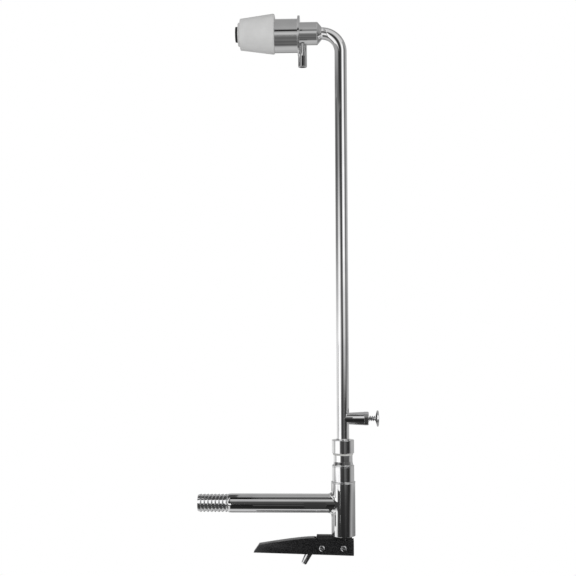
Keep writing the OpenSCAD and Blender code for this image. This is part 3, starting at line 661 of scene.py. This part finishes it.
def tee_weld(steps=180, arc_steps=10, lift=0.05):
    """Weld fillet that runs round the saddle between grip and body, a little uneven as hand work is."""
    grip_r = GRIP_R + lift
    body_r = BODY_R + lift
    tall, narrow = 5.0, 1.6

    def on_body(r, angle):
        y = r * math.cos(angle)
        return Vector((BODY_X - tube_side(body_r, y), y, r * math.sin(angle)))

    bm = bmesh.new()
    rings = []
    for step in range(steps):
        angle = 2 * math.pi * step / steps
        uneven = 1 + hand_waves(angle, (0.05, 7, 0), (0.03, 17, 1))
        size = (narrow + (tall - narrow) * math.sin(angle) ** 2) * uneven
        corner = on_body(grip_r, angle)
        toe = on_body(grip_r + size, angle)
        run = toe.x - BODY_X
        bend = Vector((toe.x + size * (grip_r + size) * math.cos(angle) ** 2 / run, corner.y, corner.z))
        heel = corner - Vector((size, 0, 0))
        ring = [corner]
        for i in range(arc_steps + 1):
            t = i / arc_steps
            ring.append((1 - t) ** 2 * heel + 2 * t * (1 - t) * bend + t ** 2 * toe)
        ring.append(on_body(grip_r + size / 2, angle))
        rings.append([bm.verts.new(p) for p in ring])
    ring_faces(bm, rings)
    mesh = closed_mesh("tee_weld_fillet", bm, TO_METRES)
    piece("tee_weld_fillet", mesh, "polished_steel", "handle", "tee_weld")


def body_tube():
    bore = BODY_R - BODY_WALL
    tube = turned("body_tube_blank", [
        (bore, BODY_FOOT, 0.3), (BODY_R, BODY_FOOT, 0.5), (BODY_R, BODY_TOP, 0.3), (bore, BODY_TOP, 0.3)],
        ON_BODY)
    # A circle of rods has three at least, and with no radius they make one hole
    mesh = grown("body_tube_polished", tube, "bored", "polished_steel", Count=3, Circle_Radius=0.0,
                 Hole_Radius=(GRIP_R - TUBE_WALL) * MM, Depth=BODY_R * MM,
                 Turn=(0, math.radians(90), 0), Centre=((BODY_X - BODY_R) * MM, 0, 0))
    piece("body_tube_polished", smooth(mesh), "polished_steel", "handle", "body_tube")


def weld_ring():
    inner = HEAD_R + 0.05
    proud = BODY_R + 0.25
    swell_start, swell_end, top = BODY_TOP + 0.6, BODY_TOP + 1.5, BODY_TOP + 2.3
    scales, steps_each = 46, 6

    def ripple(angle):
        return hand_waves(angle, (0.03, scales, 0), (0.02, 5, 0))

    turned_piece("weld_bead", [
        (inner, BODY_TOP), (BODY_R, BODY_TOP, 0.2), (proud, swell_start, 0.6), (proud, swell_end, 0.8),
        (inner, top)],
        ON_BODY, "handle", "weld_ring", steps=scales * steps_each, ripple=ripple)


def valve_head():
    seat_bore, seat_z = 8.0, 24.0
    register_r, register_z = BODY_R - BODY_WALL - SLIP, 14.7
    chamber = register_r - 2
    socket_floor = HEAD_TOP - 22.3
    groove_r, groove_foot = HEAD_R - HEAD_GROOVE, HEAD_GROOVE_Z - HEAD_GROOVE
    band_top = HEAD_GROOVE_Z + 1.2
    waist_r, waist_z = NECK_FOOT_R - 0.5, HEAD_SHOULDER_Z + 0.6
    neck_z = HEAD_SHOULDER_Z + 4.6
    turned_piece("valve_head_turned", [
        (chamber, register_z), (register_r, register_z), (register_r, BODY_TOP), (HEAD_R, BODY_TOP),
        (HEAD_R, groove_foot, 0.12), (groove_r, groove_foot), (groove_r, HEAD_GROOVE_Z),
        (HEAD_R, HEAD_GROOVE_Z, 0.12), (HEAD_R, band_top, 0.4), (NECK_FOOT_R, HEAD_SHOULDER_Z, 0.5),
        (waist_r, waist_z, 0.5), (NECK_R, neck_z, 6.0), (NECK_R, HEAD_TOP, 0.3), (SWIVEL_R, HEAD_TOP, 0.3),
        (SWIVEL_R, socket_floor), (seat_bore, socket_floor), (seat_bore, seat_z), (chamber, seat_z)],
        ON_BODY, "handle", "valve_head")


# Lever and valve

def softened_pieces(*rows):
    """Pieces that are their node with its edges rounded: node, body, finish and the edges' width."""
    for node, body, finish, width in rows:
        piece(node + "_softened", softened(node_copy(node), width), finish, body, node)


def black_pieces():
    softened_pieces(
        ("pivot_block", "handle", "black_block", 0.4), ("lever", "lever", "black_lever", 0.7),
        ("stop_boss", "lever", "black_lever", 0.4))


def stop_and_stem():
    softened_pieces(
        ("stop_screw", "lever", "bright_hardware", 0.3), ("stop_nut", "lever", "bright_hardware", 0.25),
        ("valve_stem", "valve", "bright_hardware", 0.25))


def lever_hardware():
    """Two screws and their nuts, one of each at the pivot and one at the link."""
    step = (LINK_ARM * MM, 0, 0)
    screw = softened(node_copy("pivot_screw"), 0.12, 2)
    screws = grown("lever_screws", screw, "row", "bright_hardware", Count=2, Step=step)
    piece("lever_screws", smooth(screws), "bright_hardware", "lever", "pivot_screw", "link_screw")
    pivot = middle("pivot_screw")
    seat = Matrix.Translation((pivot.x, low("lever_nuts").y, pivot.z))
    to_back = Matrix.Rotation(math.radians(-90), 4, "X")
    nut = hex_nut("lever_nut", seat @ to_back, flats=7.0, height=3.2, bore=2.04)
    nuts = grown("lever_nuts_hex", nut, "row", "bright_hardware", Count=2, Step=step)
    piece("lever_nuts_hex", smooth(nuts), "bright_hardware", "lever", "lever_nuts")


def hex_nut(name, place, flats, height, bore, steps=72):
    """Hexagon nut with its corners cut back by a cone, standing on local z = 0."""
    inside = flats / 2
    face_r, edge, slope = inside - 0.1, 0.05, 0.6
    lead_r, lead = bore + 0.3, 0.15
    sixth = math.pi / 3
    bm = bmesh.new()
    rings = []
    for step in range(steps):
        angle = 2 * math.pi * step / steps
        off = (angle + sixth / 2) % sixth - sixth / 2
        side = inside / math.cos(off)
        drop = (side - inside) * slope + edge
        outline = (
            (bore, lead), (lead_r, 0), (face_r, 0), (side, drop), (side, height - drop),
            (face_r, height), (lead_r, height), (bore, height - lead))
        rings.append([bm.verts.new((r * math.cos(angle), r * math.sin(angle), h)) for r, h in outline])
    ring_faces(bm, rings)
    return closed_mesh(name, bm, TO_METRES @ place)


def coil(node, body, foot, way, length, turns, coil_r, wire_r):
    """Spring wound from its foot."""
    name = node + "_wire"
    mesh = grown(name, bpy.data.meshes.new(name), "wire", "spring_wire", Turns=turns,
                 Coil_Radius=coil_r * MM, Wire_Radius=wire_r * MM, Rise=(length - 2 * wire_r) * MM)
    moved(mesh, Matrix.Translation(foot) @ way @ Matrix.Translation((0, 0, wire_r)))
    made = piece(name, mesh, "spring_wire", body, node)
    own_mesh(made)


def springs():
    foot, top = low("valve_spring").z, high("valve_spring").z
    coil("valve_spring", "handle", (BODY_X, 0, foot), Matrix.Identity(4), top - foot,
         turns=7, coil_r=7.5, wire_r=0.8)
    start, end = low("vent_spring").x, high("vent_spring").x
    coil("vent_spring", "lance", (start, 0, VENT_Z), ALONG_GRIP, end - start,
         turns=3, coil_r=3.05, wire_r=0.5)


# Lance

def swivel_washer():
    inner, outer = SWIVEL_R + SLIP, half_width("swivel_washer")
    turned_piece("swivel_washer_turned", [
        (inner, HEAD_TOP), (outer, HEAD_TOP, 0.3), (outer, WASHER_TOP, 0.4), (inner, WASHER_TOP)],
        ON_BODY, "handle", "swivel_washer", "white_bush")


def lance_collar():
    foot, spigot_end = WASHER_TOP + SWIVEL_GAP, low("lance_collar").z
    seat_r, seat = LANCE_R + SLIP, COLLAR_TOP - 10.0
    bore = LANCE_R - TUBE_WALL
    spigot_r = SWIVEL_R - 0.05
    turned_piece("lance_collar_turned", [
        (bore, spigot_end), (spigot_r, spigot_end, 0.4), (spigot_r, foot), (COLLAR_R, foot, 0.6),
        (COLLAR_R, COLLAR_TOP, 0.6), (seat_r, COLLAR_TOP, 0.3), (seat_r, seat), (bore, seat)],
        ON_BODY, "lance", "lance_collar")


def collar_weld():
    size = 1.6
    hollow = 0.35 * size
    root = LANCE_R + SLIP
    turned_piece("collar_weld_fillet", [
        (root, COLLAR_TOP), (root + size, COLLAR_TOP), (root + hollow, COLLAR_TOP + hollow, 1.2),
        (root, COLLAR_TOP + size)], ON_BODY, "lance", "collar_weld")


def lance_tube():
    """Straight lance with one bend, swept along a line of three points, its two rims closed."""
    foot = low("lance_tube").z
    end = low("lance_tube").x
    line = bpy.data.meshes.new("lance_line")
    stops = [(BODY_X, 0, foot), (BODY_X, 0, NOZZLE_Z), (end, 0, NOZZLE_Z)]
    line.from_pydata([Vector(p) * MM for p in stops], [(0, 1), (1, 2)], [])
    mesh = grown("lance_tube_bent", line, "tube", "polished_steel", Bend_Radius=BEND_R * MM,
                 Outer_Radius=LANCE_R * MM, Inner_Radius=(LANCE_R - TUBE_WALL) * MM)
    bm = bmesh.new()
    bm.from_mesh(mesh)
    halfway = NOZZLE_Z / 2 * MM
    rims = [e for e in bm.edges if e.is_boundary]
    for at_top in (False, True):
        rim = [e for e in rims if (e.verts[0].co.z > halfway) == at_top]
        bmesh.ops.bridge_loops(bm, edges=rim)
    mesh = closed_mesh("lance_tube_bent", bm)
    piece("lance_tube_bent", mesh, "polished_steel", "lance", "lance_tube")


# Vent, with distances taken from the lance axis to the right
BOSS_END = high("vent_boss").x - BODY_X


def vent_boss():
    bore, root_r, end_r = 5.5, 7.6, 8.65
    stem_r = 3.2
    seat, web = BOSS_END - 4.8, BOSS_END - 7.8

    def on_lance(y):
        return tube_side(LANCE_R, y)

    turned_piece("vent_boss_flared", [
        (bore, on_lance), (root_r, on_lance), (end_r, BOSS_END, 0.3), (VENT_SEAT_R, BOSS_END),
        (VENT_SEAT_R, seat), (stem_r, seat), (stem_r, web), (bore, web)],
        ON_VENT, "lance", "vent_boss")


def vent_cap():
    stem_r, plug_r, cap_r = 1.8, VENT_SEAT_R - SLIP, half_width("vent_cap")
    start, end = BOSS_END - 4.5, high("vent_cap").x - BODY_X
    chamfer = 0.8
    turned_piece("vent_cap_turned", [
        (stem_r, start), (plug_r, start), (plug_r, BOSS_END), (cap_r, BOSS_END),
        (cap_r, end - chamfer, 0.4), (cap_r - chamfer, end, 0.4), (stem_r, end)],
        ON_VENT, "lance", "vent_cap")


def vent_button():
    start = low("vent_button").x - BODY_X
    stem_r, hub_r, rim_r = 1.79, 3.6, half_width("vent_button")
    under_r, crown_r, top_r = rim_r - 0.9, rim_r - 2.6, 4.0
    rim_start, rim_end = start + 2.0, start + 3.5
    socket = start + 3.0
    turned_piece("vent_button_domed", [
        (stem_r, start), (hub_r, start, 0.3), (under_r, start + 1.5, 0.4), (rim_r, rim_start, 0.5),
        (rim_r, rim_end, 0.7), (crown_r, start + 4.1, 2.0), (top_r, start + 4.4, 1.0), (0, start + 4.5),
        (0, socket), (stem_r, socket)], ON_VENT, "vent", "vent_button")


# Nozzle, with distances taken from the lance axis towards the spout

def away(x):
    return BODY_X - x


JACKET_START = away(high("nozzle_jacket").x)
JACKET_END = away(low("nozzle_jacket").x)
JACKET_CONE_END = JACKET_START + 5.4
FLANGE_FACE = away(low("nozzle_flange").x)
RING_START = away(high("spout_ring").x)
SPOUT_TIP = away(low("fill_spout").x)


def nozzle_jacket():
    wall, lip = 2, 0.5
    tube_r = LANCE_R + SLIP
    turned_piece("nozzle_jacket_turned", [
        (tube_r, JACKET_START), (tube_r + lip, JACKET_START, 0.3), (JACKET_R, JACKET_CONE_END, 1.6),
        (JACKET_R, JACKET_END), (JACKET_R - wall, JACKET_END), (JACKET_R - wall, JACKET_CONE_END + 1),
        (tube_r, JACKET_START + wall)], ALONG_NOZZLE, "lance", "nozzle_jacket")


def nozzle_flange():
    bore, rim_r = 13.3, half_width("nozzle_flange")
    turned_piece("nozzle_flange_turned", [
        (bore, JACKET_END), (rim_r, JACKET_END, 0.6), (rim_r, FLANGE_FACE, 0.6), (bore, FLANGE_FACE)],
        ALONG_SLEEVE, "lance", "nozzle_flange")


def overflow_sleeve():
    outer = half_width("overflow_sleeve")
    inner = outer - TUBE_WALL
    end = away(low("overflow_sleeve").x)
    turned_piece("overflow_sleeve_turned", [
        (inner, FLANGE_FACE), (outer, FLANGE_FACE), (outer, end, 0.2), (inner, end)],
        ALONG_SLEEVE, "lance", "overflow_sleeve")


def fill_spout():
    tube_r, bore = LANCE_R + SLIP, SPOUT_R - TUBE_WALL
    socket_end = JACKET_START + 11.7
    mouth = SPOUT_TIP - MOUTH_LEN
    turned_piece("fill_spout_turned", [
        (tube_r, JACKET_CONE_END), (SPOUT_R, JACKET_CONE_END), (SPOUT_R, RING_START),
        (RING_SEAT_R, RING_START), (RING_SEAT_R, SPOUT_TIP, 0.2), (MOUTH_R, SPOUT_TIP, 0.2),
        (MOUTH_R, mouth), (bore, mouth), (bore, socket_end), (tube_r, socket_end)],
        ALONG_NOZZLE, "lance", "fill_spout")


def spout_ring():
    inner, outer = RING_SEAT_R + SLIP, half_width("spout_ring")
    turned_piece("spout_ring_moulded", [
        (inner, RING_START), (outer, RING_START, 0.3), (outer, SPOUT_TIP, 0.6), (inner, SPOUT_TIP)],
        ALONG_NOZZLE, "lance", "spout_ring", "black_seal")


def overflow_tube():
    stub_r = half_width("overflow_tube")
    bore = stub_r - TUBE_WALL
    end = NOZZLE_Z - low("overflow_tube").z

    def on_jacket(y):
        return tube_side(JACKET_R, y)

    turned_piece("overflow_stub", [
        (bore, on_jacket), (stub_r, on_jacket), (stub_r, end, 1.0), (bore, end, 0.4)],
        DOWN_OVERFLOW, "lance", "overflow_tube")


def sealing_cone():
    back = away(high("sealing_cone").x)
    front = away(low("sealing_cone").x)
    back_r = half_width("sealing_cone")
    boss = front - CONE_BOSS_LEN
    drill_len = 80
    blank = turned("cone_blank", [
        (CONE_BORE_R, back), (back_r, back, 2.4), (CONE_TIP_R, boss, 0.9), (CONE_BOSS_R, boss, 0.3),
        (CONE_BOSS_R, front, 0.7), (CONE_BORE_R, front, 0.4)], Matrix.Identity(4))
    mesh = grown("sealing_cone_moulded", blank, "bored", "white_cone", Count=PORT_COUNT,
                 Circle_Radius=PORT_CIRCLE_R * MM, Hole_Radius=PORT_R * MM, Depth=drill_len * MM,
                 Turn=(0, 0, math.pi / PORT_COUNT), Centre=(0, 0, (back + front) / 2 * MM))
    moved(mesh, ALONG_NOZZLE)
    piece("sealing_cone_moulded", smooth(mesh), "white_cone", "lance", "sealing_cone")


def hidden_nodes():
    """Nodes that keep their own mesh take the finish of their slot."""
    for row in frame["record"]["subparts"]:
        shown = frame["nodes"][row["node"]]
        for place in shown.material_slots:
            place.material = FINISHES[row["material_slot"]]


# Studio

def photo_camera():
    """Camera of the photograph, by where it looks, from how far and how it is turned, in metres."""
    target = Vector((0.1192, 0, 0.2807))
    distance = 1.45
    focal_px, image_px, sensor = 1105.4, 576, 36.0
    yaw, pitch, roll = math.radians(2.57), math.radians(1.52), math.radians(-0.28)
    ahead = Vector((-math.sin(yaw) * math.cos(pitch), math.cos(yaw) * math.cos(pitch), math.sin(pitch)))
    right = Vector((math.cos(yaw), math.sin(yaw), 0))
    up = right.cross(ahead)
    tilted_right = math.cos(roll) * right + math.sin(roll) * up
    tilted_up = tilted_right.cross(ahead)
    data = bpy.data.cameras.new("photo_camera")
    data.sensor_width = sensor
    data.lens = focal_px / image_px * sensor
    camera = linked("photo_camera", data)
    place = Matrix((tilted_right, tilted_up, -ahead)).transposed().to_4x4()
    place.translation = target - distance * ahead
    camera.matrix_world = place
    SCENE.camera = camera


def grey_ramp(tree, value, stops):
    """Grey by a value, from (value, display grey) stops."""
    start, end = stops[0][0], stops[-1][0]
    share = flow(tree, "MapRange", {0: value, 1: start, 2: end})
    node = put(tree, "ValToRGB", {0: share})
    marks = node.color_ramp.elements
    while len(marks) < len(stops):
        marks.new(0.5)
    for mark, (place, display) in zip(marks, stops):
        mark.position = (place - start) / (end - start)
        mark.color = (*[light_level(display)] * 3, 1)
    return node.outputs[0]


# What the collar, the head and the body's top mirror: greys by the turn from the front
BESIDE_BODY = (
    (-180, 230), (-131, 235), (-112, 210), (-98, 178), (-90, 205), (-84, 275), (-40, 275), (-34, 210),
    (-28, 84), (-5, 60), (4, 78), (14, 108), (25, 98), (36, 76), (48, 50), (60, 42), (70, 62), (80, 140),
    (100, 176), (180, 172))

# What the upright tubes mirror: a height in degrees, then greys by the turn from the front
PANEL_RINGS = (
    (11.5, (
        (-180, 150), (-120, 120), (-100, 90), (-85, 95), (-72, 125), (-45, 125), (-30, 50), (-5, 38),
        (4, 56), (11, 112), (19, 205), (28, 262), (48, 262), (60, 120), (72, 92), (92, 150), (120, 175),
        (180, 165))),
    (7.5, (
        (-180, 150), (-118, 105), (-100, 82), (-82, 76), (-72, 125), (-60, 175), (-42, 158), (-35, 120),
        (-20, 48), (-2, 42), (7, 84), (14, 200), (24, 262), (49, 265), (60, 205), (68, 98), (80, 96),
        (100, 156), (122, 180), (180, 170))),
    (3.5, (
        (-180, 190), (-115, 130), (-100, 96), (-85, 150), (-72, 190), (-58, 260), (-40, 250), (-28, 160),
        (-14, 62), (-2, 72), (8, 118), (18, 220), (28, 265), (47, 265), (58, 215), (67, 105), (80, 102),
        (100, 156), (120, 185), (180, 180))),
    (-1.5, (
        (-180, 225), (-126, 230), (-95, 225), (-88, 245), (-74, 265), (-45, 275), (-30, 215), (-18, 135),
        (-8, 110), (10, 118), (20, 168), (30, 210), (46, 210), (60, 158), (74, 96), (90, 118), (102, 150),
        (180, 172))),
    (-4.5, BESIDE_BODY),
    (-8.5, BESIDE_BODY),
    (-9.0, (
        (-180, 200), (-128, 200), (-116, 176), (-107, 160), (-101, 190), (-96, 255), (-68, 270),
        (-58, 235), (-49, 150), (-40, 62), (-9, 36), (4, 52), (18, 70), (36, 56), (49, 40), (60, 44),
        (68, 66), (79, 150), (96, 168), (112, 146), (180, 140))),
    (-11.0, (
        (-180, 165), (-122, 155), (-110, 160), (-102, 180), (-97, 236), (-82, 252), (-70, 228),
        (-60, 165), (-50, 100), (-40, 58), (-9, 34), (20, 52), (44, 36), (56, 52), (66, 125), (78, 176),
        (104, 130), (180, 125))),
)

# What the level tubes mirror: greys by the climb from the front, over the top
PANELS_OVERHEAD = (
    (-180, 80), (-128, 95), (-118, 165), (-100, 200), (-72, 195), (-66, 40), (-12, 32), (-6, 66), (20, 74),
    (26, 140), (50, 215), (54, 24), (78, 24), (84, 148), (120, 158), (165, 190), (180, 190))

# What sloping edges mirror high above: greys by the turn from the front
ROOF = (
    (-180, 150), (-110, 190), (-84, 230), (-40, 235), (-28, 120), (-10, 62), (2, 90), (12, 190), (30, 225),
    (50, 215), (70, 150), (180, 150))


def studio_world():
    """White for the camera, an even glow on matt surfaces, and bright and dark panels in the steel."""
    world = bpy.data.worlds.new("studio")
    SCENE.world = world
    world.use_nodes = True
    tree = world.node_tree
    tree.nodes.clear()
    outwards = put(tree, "TexCoord").outputs["Generated"]
    way = put(tree, "SeparateXYZ", {0: outwards}).outputs
    front = calc(tree, "MULTIPLY", way["Y"], -1.0)
    turn = calc(tree, "DEGREES", calc(tree, "ARCTAN2", way["X"], front))
    climb = calc(tree, "DEGREES", calc(tree, "ARCTAN2", way["Z"], front))
    height = calc(tree, "DEGREES", calc(tree, "ARCSINE", way["Z"]))

    last, stops = PANEL_RINGS[0]
    around = grey_ramp(tree, turn, stops)
    for level, stops in PANEL_RINGS[1:]:
        share = flow(tree, "MapRange", {0: height, 1: last, 2: level})
        around = mixed(tree, share, around, grey_ramp(tree, turn, stops))
        last = level
    to_roof, to_floor, to_sides = (0.35, 0.5), (-0.35, -0.6), (0.14, 0.26)
    floor_grey = (0.72, 0.72, 0.72, 1)
    around = mixed(tree, between(tree, way["Z"], *to_roof), around, grey_ramp(tree, turn, ROOF))
    around = mixed(tree, between(tree, way["Z"], *to_floor), around, floor_grey)
    sideways = calc(tree, "ABSOLUTE", way["X"])
    over = grey_ramp(tree, climb, PANELS_OVERHEAD)
    studio = mixed(tree, between(tree, sideways, *to_sides), over, around)

    rays = put(tree, "LightPath").outputs
    from_front = between(tree, front, -0.6, 1.0, low_out=0.42, high_out=0.92)
    from_above = between(tree, way["Z"], 0.1, 0.9, low_out=1.0, high_out=0.72)
    glow = calc(tree, "MULTIPLY", from_front, from_above)
    for_matt = mixed(tree, rays["Is Diffuse Ray"], studio, glow)
    seen = mixed(tree, rays["Is Camera Ray"], for_matt, (1, 1, 1, 1))
    sky = flow(tree, "Background", {"Color": seen})
    put(tree, "OutputWorld", {"Surface": sky})


# Cards near the part, for pieces that mirror something else than the studio

def mirror_card(name, corners, axis, stops, fade=None, from_below=False):
    """A card that only shiny pieces mirror, with greys along one axis.

    With fade, two heights, it thins out to nothing from the upper to the lower.
    With from_below, a level card shows its lower face alone.
    """
    mesh = bpy.data.meshes.new(name)
    mesh.from_pydata([[value * MM for value in corner] for corner in corners], [], [(0, 1, 2, 3)])
    card = linked(name, mesh)
    for ray in ("camera", "diffuse", "transmission", "volume_scatter", "shadow"):
        setattr(card, "visible_" + ray, False)
    made = bpy.data.materials.new(name)
    made.use_nodes = True
    tree = made.node_tree
    tree.nodes.clear()
    place = put(tree, "SeparateXYZ", {0: object_place(tree)}).outputs
    grey = grey_ramp(tree, calc(tree, "DIVIDE", place[axis], MM), stops)
    shine = flow(tree, "Emission", {0: grey})
    share = None
    if fade:
        share = between(tree, place["Z"], fade[0] * MM, fade[1] * MM)
    if from_below:
        share = put(tree, "NewGeometry").outputs["Backfacing"]
    if share is not None:
        clear = flow(tree, "BsdfTransparent")
        shine = flow(tree, "MixShader", {0: share, 1: clear, 2: shine})
    put(tree, "OutputMaterial", {"Surface": shine})
    mesh.materials.append(made)


def upright_card(name, left, right, y, stops):
    """A card across the view, with greys from its foot to its top."""
    foot, top = stops[0][0], stops[-1][0]
    mirror_card(name, [(left, y, foot), (right, y, foot), (right, y, top), (left, y, top)], "Z", stops)


def level_card(name, left, right, z, stops, from_below=False):
    """A level card, with greys from its front to its back."""
    front, back = stops[0][0], stops[-1][0]
    corners = [(left, front, z), (right, front, z), (right, back, z), (left, back, z)]
    mirror_card(name, corners, "Y", stops, from_below=from_below)


def side_corners(x, front, back, foot, top):
    return [(x, front, foot), (x, back, foot), (x, back, top), (x, front, top)]


def side_card(name, x, foot, top, stops, fade=None):
    """A card along the view, with greys from its front to its back."""
    mirror_card(name, side_corners(x, stops[0][0], stops[-1][0], foot, top), "Y", stops, fade)


def tall_side_card(name, x, front, back, stops, fade=None):
    """A card along the view, with greys from its foot to its top."""
    mirror_card(name, side_corners(x, front, back, stops[0][0], stops[-1][0]), "Z", stops, fade)


NOZZLE_LEFT, NOZZLE_RIGHT, NOZZLE_FRONT = 30, 168, -120
BEND_LEFT = high("nozzle_jacket").x - 3
WALL_X = NOZZLE_RIGHT + 4


def nozzle_cards():
    jacket_x = high("nozzle_flange").x
    stub_x, stub_front = middle("overflow_tube").x, -14
    roof, floor, back = 800, 560, 120
    below = [(588, 138), (592, 145), (605, 184), (618, 200), (631, 176), (642, 150)]
    upright_card("sleeve_card", NOZZLE_LEFT, jacket_x, NOZZLE_FRONT, below + [
        (648, 40), (666, 30), (674, 140), (690, 166), (roof, 158)])
    upright_card("jacket_card", jacket_x, NOZZLE_RIGHT, NOZZLE_FRONT, below + [
        (650, 110), (666, 130), (690, 170), (roof, 158)])
    level_card("nozzle_roof_card", NOZZLE_LEFT, NOZZLE_RIGHT, roof, [(NOZZLE_FRONT, 158), (back, 150)])
    level_card("nozzle_floor_card", NOZZLE_LEFT, NOZZLE_RIGHT, floor, [
        (-240, 140), (-181, 120), (-130, 104), (-98, 98), (-77, 111), (-62, 110), (-51, 88), (-40, 102),
        (-34, 106), (-26.7, 84), (-20, 110), (-13.8, 170), (-8, 188), (8, 188), (20, 176), (110, 160)])
    upright_card("stub_card", stub_x - 5, stub_x + 6, stub_front, [(574, 30), (588, 60)])


def bend_cards():
    """Cards round the bend, and the wall left of it, which fades out down the lance."""
    bend_foot, bend_top, bend_floor = 598, 700, 565
    far_front, inner_edge, lance_edge = -240, -9.5, -17
    start_front, far_right = -28, 320
    lance_fade = (490, 562)
    upright_card("bend_card", BEND_LEFT, WALL_X, NOZZLE_FRONT + 2, [
        (588, 240), (600, 225), (618, 110), (628, 70), (660, 72), (680, 160), (705, 215), (760, 210)])
    upright_card("bend_start_card", WALL_X - 8, WALL_X - 1, start_front, [(594, 215), (600, 245), (609, 245)])
    level_card("bend_roof_card", BEND_LEFT, far_right, bend_top, [(NOZZLE_FRONT, 215), (-2, 205)])
    level_card("bend_floor_card", BEND_LEFT, WALL_X, bend_floor, [
        (NOZZLE_FRONT, 110), (-75, 130), (-55, 230), (-40, 250), (-20, 225), (0, 190), (20, 165), (60, 160)])
    tall_side_card("jacket_end_card", WALL_X - 0.5, far_front, inner_edge, [
        (560, 120), (bend_foot, 90), (610, 75), (616, 140), (640, 165), (bend_top, 165)])
    side_card("bend_wall_card", WALL_X, bend_foot, bend_top, [
        (far_front, 45), (-60, 48), (-42, 62), (-30, 180), (-24, 255), (inner_edge, 255)])
    side_card("lance_wall_card", WALL_X, lance_fade[0], bend_foot, [
        (far_front, 44), (-54, 48), (-36, 56), (-27, 66), (lance_edge, 112)], lance_fade)
    tall_side_card("lance_edge_card", WALL_X, lance_edge, 110, [
        (lance_fade[0], 112), (550, 120), (590, 158), (bend_foot, 160)], lance_fade)


def spigot_cards():
    left, front, roof, floor = -160, -50, 200, -60
    upright_card("spigot_card", left, -5, front, [
        (floor, 60), (-1, 80), (4, 265), (58, 265), (66, 80), (roof, 70)])
    level_card("spigot_roof_card", left, 35, roof, [(front, 70), (120, 75)], from_below=True)
    level_card("spigot_floor_card", -95, 10, floor, [(front, 60), (-15, 80), (8, 190), (60, 190)])


def vent_cards():
    boss_start, boss_end = low("vent_boss").x + 10, high("vent_boss").x
    button_start, button_end = low("vent_button").x, high("vent_button").x
    gap_x = button_start - 3
    boss_front, cap_front, button_front, behind = -11, -12, -14, 25
    upright_card("vent_card", boss_start, boss_end, boss_front, [(111.5, 212), (115, 220)])
    upright_card("vent_cap_card", boss_end, gap_x, cap_front, [
        (98, 55), (112, 60), (114.5, 120), (126, 145)])
    upright_card("button_card", gap_x, button_end + 14, button_front, [
        (92, 120), (97, 45), (108.6, 45), (109.8, 290), (118.5, 290), (122, 130), (135, 130)])
    upright_card("button_back_card", boss_end - 13, button_start + 1, behind, [(99, 50), (120, 55)])


def body_cards():
    """Cards beside the tee, the neck and the stop screw."""
    tee_front, shade_front, neck_front, stop_front, stop_floor = -45, -44, -26, -300, -150
    upright_card("junction_card", BODY_X - 120, BODY_X - 22, tee_front, [(-19, 75), (-10, 75)])
    upright_card("body_shade_card", BODY_X - 52, BODY_X - 23, shade_front, [(-62, 48), (12, 60)])
    upright_card("neck_card", BODY_X + 5, BODY_X + 45, neck_front, [(50.5, 80), (62, 95)])
    upright_card("stop_card", -130, 10, stop_front, [(-85, 265), (0, 265)])
    level_card("stop_floor_card", 170, 300, stop_floor, [(-200, 45), (120, 45)])


def pale_floor():
    """Round pale floor that the camera sees lifted a little and faded out before its rim, in metres."""
    drop, radius = 0.25, 0.9
    fade_start, fade_end = 0.3 * radius, 0.98 * radius
    lift = 0.3
    pale, paler = (0.9, 0.9, 0.9, 1), (0.94, 0.94, 0.94, 1)
    spot = Vector((middle("lever").x * MM, 0, cad_box[0].z - drop))
    bm = bmesh.new()
    bmesh.ops.create_circle(bm, cap_ends=True, segments=96, radius=radius)
    bm.transform(Matrix.Translation(spot))
    floor = linked("floor", plain_mesh("floor", bm))
    floor.visible_glossy = False
    made, tree, shader = finish_base("pale_floor", metallic=0.0)
    shader.inputs["Roughness"].default_value = 0.9
    shader.inputs["Emission Color"].default_value = (1, 1, 1, 1)
    place = object_place(tree)
    tree.links.new(mixed(tree, noise(tree, place, 300.0), pale, paler), shader.inputs["Base Color"])
    seen = put(tree, "LightPath").outputs["Is Camera Ray"]
    tree.links.new(calc(tree, "MULTIPLY", seen, lift), shader.inputs["Emission Strength"])
    far = put(tree, "VectorMath", {0: place, 1: spot}, operation="DISTANCE").outputs["Value"]
    thin = calc(tree, "MULTIPLY", seen, between(tree, far, fade_start, fade_end))
    clear = flow(tree, "BsdfTransparent")
    laid = flow(tree, "MixShader", {0: thin, 1: shader.outputs[0], 2: clear})
    tree.links.new(laid, tree.nodes["Material Output"].inputs["Surface"])
    floor.data.materials.append(made)


hose_spigot()
grip_tube()
tee_weld()
body_tube()
weld_ring()
valve_head()
black_pieces()
lever_hardware()
stop_and_stem()
springs()
swivel_washer()
lance_collar()
collar_weld()
lance_tube()
vent_boss()
vent_cap()
vent_button()
nozzle_jacket()
nozzle_flange()
overflow_sleeve()
fill_spout()
spout_ring()
overflow_tube()
sealing_cone()
hidden_nodes()
photo_camera()
studio_world()
nozzle_cards()
bend_cards()
spigot_cards()
vent_cards()
body_cards()
pale_floor()
SCENE.view_settings.view_transform = "Standard"
